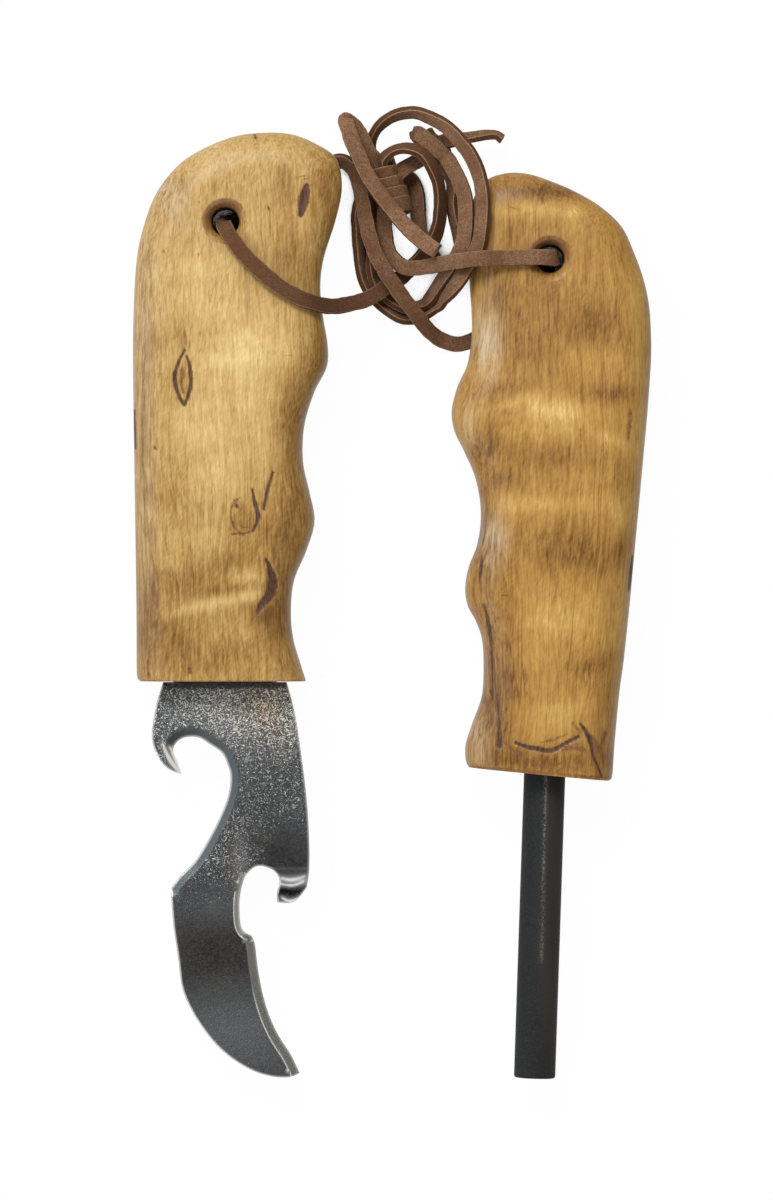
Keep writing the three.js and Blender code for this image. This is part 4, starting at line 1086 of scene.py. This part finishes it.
# In order: the cracks down the left side, the long crack across the burl and the arc at its right,
# the burl's soft brown spots, the crack in the right edge, growth lines, and a dark line along the
# end face's edge, which is painted shade.
rod_marks_and_shade = [
    (0.9, 0.15, [[481.5, 558, 0.9], [480.5, 570, 1.7], [478.7, 582, 0.9]]),
    (1.0, 0.2, [[484, 605, 0.8], [487, 618, 1.6], [489, 628, 2.0], [491, 646, 1.2], [492, 672, 1],
        [492, 700, 1]]),
    (0.8, 0.1, [[490, 690, 1.2], [492, 696, 1.4]]),
    (1.0, 0.25, [[496.5, 694, 1], [498, 715, 1.3], [499, 733, 2.2], [499, 745, 3]]),
    (1.0, 0.25, [[515, 742, 1.4], [526, 746, 2], [535, 747.6, 2.4], [550, 750, 2.2],
        [562, 744, 1.8], [577, 736, 1.6]]),
    (0.95, 0.2, [[579, 723, 1], [584, 729, 1.8], [588, 737, 2.2], [590.5, 746, 2], [592, 754, 1.6],
        [597, 766, 1.2], [601, 776, 0.8]]),
    (0.5, 0.1, [[605, 730, 2.4], [601, 742, 2.2], [597, 752, 1.6]]),
    (0.7, 0.1, [[564.5, 746.5, 1.2], [566, 749, 1.2]]),
    (0.4, 0.0, [[510, 752, 1], [524, 760, 1.8], [538, 757, 1], [552, 764, 1.6], [566, 759, 1]]),
    (0.35, 0.0, [[552, 770, 1], [568, 766, 1.6], [584, 771, 1.2]]),
    (0.3, 0.0, [[525, 768, 1], [540, 771, 1.4]]),
    (0.46, 0.05, [[504, 742, 1.6], [512, 748, 3], [521, 755, 2.6]]),
    (0.42, 0.05, [[562, 749, 2], [573, 746, 4], [584, 750, 4]]),
    (0.46, 0.05, [[588, 733, 2], [595, 744, 3.4], [602, 757, 3]]),
    (0.4, 0.0, [[530, 761, 2], [545, 767, 2.6], [560, 772, 2]]),
    (0.4, 0.0, [[572, 722, 1.4], [578, 731, 2.6]]),
    (0.38, 0.0, [[540, 741, 1], [552, 739, 2], [566, 733, 1.4]]),
    (0.42, 0.0, [[484, 690, 1.4], [487, 706, 2.4], [485, 720, 1.4]]),
    (0.9, 0.15, [[631.5, 556, 0.8], [630, 573, 1.9], [628, 591, 0.8]]),
    (0.45, 0.0, [[629, 411, 1.6], [628, 424, 3.2], [627, 440, 1.4]]),
    (0.35, 0.0, [[579.6, 428, 0.6], [579.6, 498, 0.6]]),
    (0.35, 0.0, [[604.6, 438, 0.6], [605, 488, 0.6]]),
    (0.35, 0.0, [[504.5, 530, 0.7], [504.5, 566, 0.7]]),
    (0.35, 0.0, [[556, 288, 0.6], [557, 336, 0.6]]),
    # Painted shade: a dark line along the end face's edge.
    (0.45, 0.0, [[468, 766, 2.4], [540, 772, 2.2], [611, 777.5, 1.8]]),
]
rod_figure = [
    [530, 211, 46, 8, 0, 0.75], [574, 217, 7, 14, 0, 0.4], [632, 300, 12, 40, 0, 0.25],
    [590, 362, 26, 17, 0, 0.55], [552, 415, 36, 22, -8, 0.95], [503, 406, 26, 5, 18, 0.55],
    [606, 440, 26, 6, -22, 0.45], [540, 505, 42, 8, 0, 0.7], [590, 500, 20, 14, 0, 0.3],
    [618, 520, 8, 18, 0, 0.5], [550, 618, 40, 26, 0, 0.6], [586, 605, 10, 10, 0, 0.3],
    [530, 660, 26, 22, 0, 0.15], [556, 712, 36, 18, 0, 0.45], [545, 193, 46, 9, 0, -0.65],
    [560, 262, 70, 40, 0, -0.25], [560, 350, 80, 50, 0, -0.3], [520, 232, 40, 12, 0, -0.25],
    [495, 298, 13, 22, 0, -0.5], [502, 391, 26, 7, 10, -0.45], [602, 318, 34, 30, 0, -0.22],
    [608, 394, 32, 8, 0, -0.55], [484, 444, 14, 24, -25, -0.55], [545, 457, 44, 14, 0, -0.45],
    [505, 480, 16, 9, 0, -0.5], [592, 465, 20, 9, 0, -0.2], [623, 478, 12, 14, 0, -0.4],
    [560, 548, 50, 24, 0, -0.4], [603, 562, 26, 20, 0, -0.4], [619, 548, 7, 13, 0, -0.45],
    [592, 664, 28, 9, 12, -0.55], [603, 705, 14, 24, 0, -0.4], [508, 640, 13, 50, 0, -0.35],
    [545, 760, 60, 12, 0, -0.6], [602, 755, 15, 26, 0, -0.4], [494, 705, 26, 60, 0, -0.8],
    [540, 190, 90, 30, 0, -0.2], [484, 560, 18, 90, 0, -0.6], [556, 320, 60, 40, 0, -0.15],
    [640, 400, 12, 150, 0, 0.4], [620, 640, 12, 90, 0, 0.3], [560, 560, 130, 300, 0, -0.06],
]
# Painted sheen along the left edge: pale grey patches, a painted reflection.
rod_painted_sheen = [
    [486, 342, 13, 32, 0, 1.3], [492, 540, 13, 24, 0, 1.0], [476, 735, 10, 34, 0, 0.6],
    [490, 650, 6, 40, 0, 0.4], [468, 430, 8, 30, 0, 0.5],
]
rod_tones = [
    (0.155, 0.068, 0.017), (0.34, 0.167, 0.038), (0.475, 0.26, 0.062), (0.59, 0.35, 0.096),
    (0.79, 0.55, 0.2),
]
rod_birch = curly_birch("birch_rod", -rod_lean, 8, rod_tones, 0.6)
wide = rod_radius + slot_spare
bore = turned([(wide, -8), (wide, rod_in_handle + slot_spare)], 64, (0, 0, middle), True)
blank = handle_blank(rod_outline, rod_width, rod_handle_length, rod_end_cut)
blank = closed_object("blank", *blank)
points, faces = cut(blank, [lace_hole(rod_hole, rod_handle_length), closed_object("bore", *bore)])
wooden_piece(
    "handle_rod", placed(points, rod_place, rod_lean), faces, rod_birch, rod_marks_and_shade, rod_figure,
    rod_painted_sheen, (30.5, 66.82), "rod_handle", "fire_rod_unit",
)

# ---------------------------------------------------------------- Ferro rod
# A plain rod of ferrocerium, 8 mm thick, cast and drawn, under a black coating that has not been
# scraped yet. Its right side is painted lighter and browner, a painted light, and a thin light line
# down it is a painted highlight. It is glued into the handle's blind bore, and its free end is
# chamfered.
chamfer_size = 0.5
free_end = rod_in_handle - rod_length
profile = [(0.02, free_end), (rod_radius - chamfer_size - 0.15, free_end)]
for angle in np.linspace(0, math.pi / 2, 5):
    radius = rod_radius - chamfer_size * (1 - math.sin(angle))
    profile.append((radius, free_end + chamfer_size * (1 - math.cos(angle))))
for share in np.linspace(0, 1, 60)[1:]:
    profile.append((rod_radius, free_end + chamfer_size + share * (rod_length - 2 * chamfer_size)))
profile += [(rod_radius - chamfer_size, rod_in_handle), (0.02, rod_in_handle)]
points, faces = turned(profile, 96, (0, 0, middle), True)
points = placed(points, rod_place, rod_lean)

coating, shader, wire = new_material("rod_coating")
place = wire.node("TexCoord", out="Object")
drawn_out = wire.node("Mapping", place, Rotation=(0, 0, -rod_lean), Scale=(3000, 60, 3000))
streak, grain = drawn_out.noise(1, 3, 0.6), place.noise(4200, 3, 0.6)
colour = grain.ramped(0.4, 0.7).mixed((0.012, 0.0135, 0.0135), (0.028, 0.029, 0.027))
colour = (streak.ramped(0.62, 0.75) * 0.3).mixed(colour, (0.085, 0.083, 0.078))
# Painted light: the right side lighter and browner, and a thin light line near the middle, a painted
# highlight.
colour = (wire.attribute("painted_lit_side") * 0.75).mixed(colour, (0.052, 0.047, 0.041))
colour = (wire.attribute("painted_highlight_line") * grain.ramped(0.42, 0.58)).mixed(colour, (0.24, 0.22, 0.19))
give(
    shader, Base_Color=colour, Roughness=0.50 + grain * 0.25, Specular_IOR_Level=0.14,
    Normal=(grain * 0.6 + streak * 0.4).bump(0.06 * MM, 0.7),
)
rod_values = {
    "painted_highlight_line": drawn(points, [[545.5, 774, 0.9], [543.5, 862, 0.7], [541, 960, 0.4]]) * 0.8,
    "painted_lit_side": painted(points, [[556, 850, 11, 110, 3, 0.8], [550, 1000, 11, 110, 3, 0.8]]),
}
new_piece("rod", points, faces, rod_values, coating, "ferro_rod", "fire_rod_unit", 50)

# ---------------------------------------------------------------- Table and light
# A white table top, which keeps a faint shadow and goes dark where the object covers it, as at the
# bottom of the two lace holes, and plain soft light: a lamp above the top of the picture, and a
# room that is darker overhead and on the right.
far, down = 6.0, -0.02 * MM
table_mesh = bpy.data.meshes.new("table")
table_corners = [(-far, -far, down), (far, -far, down), (far, far, down), (-far, far, down)]
table_mesh.from_pydata(table_corners, [], [(0, 1, 2, 3)])
table = shown("table", table_mesh)
table_top, shader, wire = new_material("table_top")
seen = wire.node("LightPath", out="Is Camera Ray") + wire.node("LightPath", out="Is Glossy Ray")
seen = (seen + wire.node("LightPath", out="Is Transmission Ray")).math("MINIMUM", 1.0)
bare = wire.node("AmbientOcclusion", samples=32, Distance=0.03, out="AO").ramped(0.09, 0.17)
matt = bare.mixed((0.01, 0.01, 0.01), (0.32, 0.32, 0.32))
give(shader, Base_Color=matt, Roughness=0.9, Specular_IOR_Level=0)
white = wire.node("Emission", Color=(1, 1, 1, 1), Strength=1.06)
surface = wire.node("MixShader", seen * bare * 0.92, Wire(wire.tree, shader.outputs[0]), white)
give(wire.tree.nodes["Material Output"], surface)
table_mesh.materials.append(table_top)

lamp_data = bpy.data.lights.new("lamp", "AREA")
lamp_data.shape, lamp_data.size, lamp_data.size_y, lamp_data.energy = "RECTANGLE", 1.2, 0.9, 42
lamp = shown("lamp", lamp_data)
lamp.location = (-0.6, 1.6, 2.2)
lamp.rotation_euler = (-lamp.location).to_track_quat("-Z", "Y").to_euler()

world = bpy.data.worlds.new("room")
world.use_nodes = True
bpy.context.scene.world = world
wire = Wire(world.node_tree)
direction = wire.node("TexCoord", out="Generated")
up = wire.node("SeparateXYZ", direction, out="Z")
right = wire.node("SeparateXYZ", direction, out="X")
left = right.ramped(-0.1, -0.75)
walls = 0.10 + up.ramped(0.15, 0.60) * 0.76 + left * 0.75 - right.ramped(0.1, 0.7) * 0.36
strength = (0.14 + up.ramped(0.97, 0.72) * walls).math("MAXIMUM", 0.05)
tint = left.mixed((1.0, 0.97, 0.93), (0.86, 0.94, 1.0))
room = wire.node("Background", tint, strength)
plain = wire.node("Background", (1, 1, 1, 1), 1.0)
sky = wire.node("MixShader", wire.node("LightPath", out="Is Camera Ray"), room, plain)
give(wire.tree.nodes["World Output"], sky)

bpy.context.scene.view_settings.view_transform = "Standard"
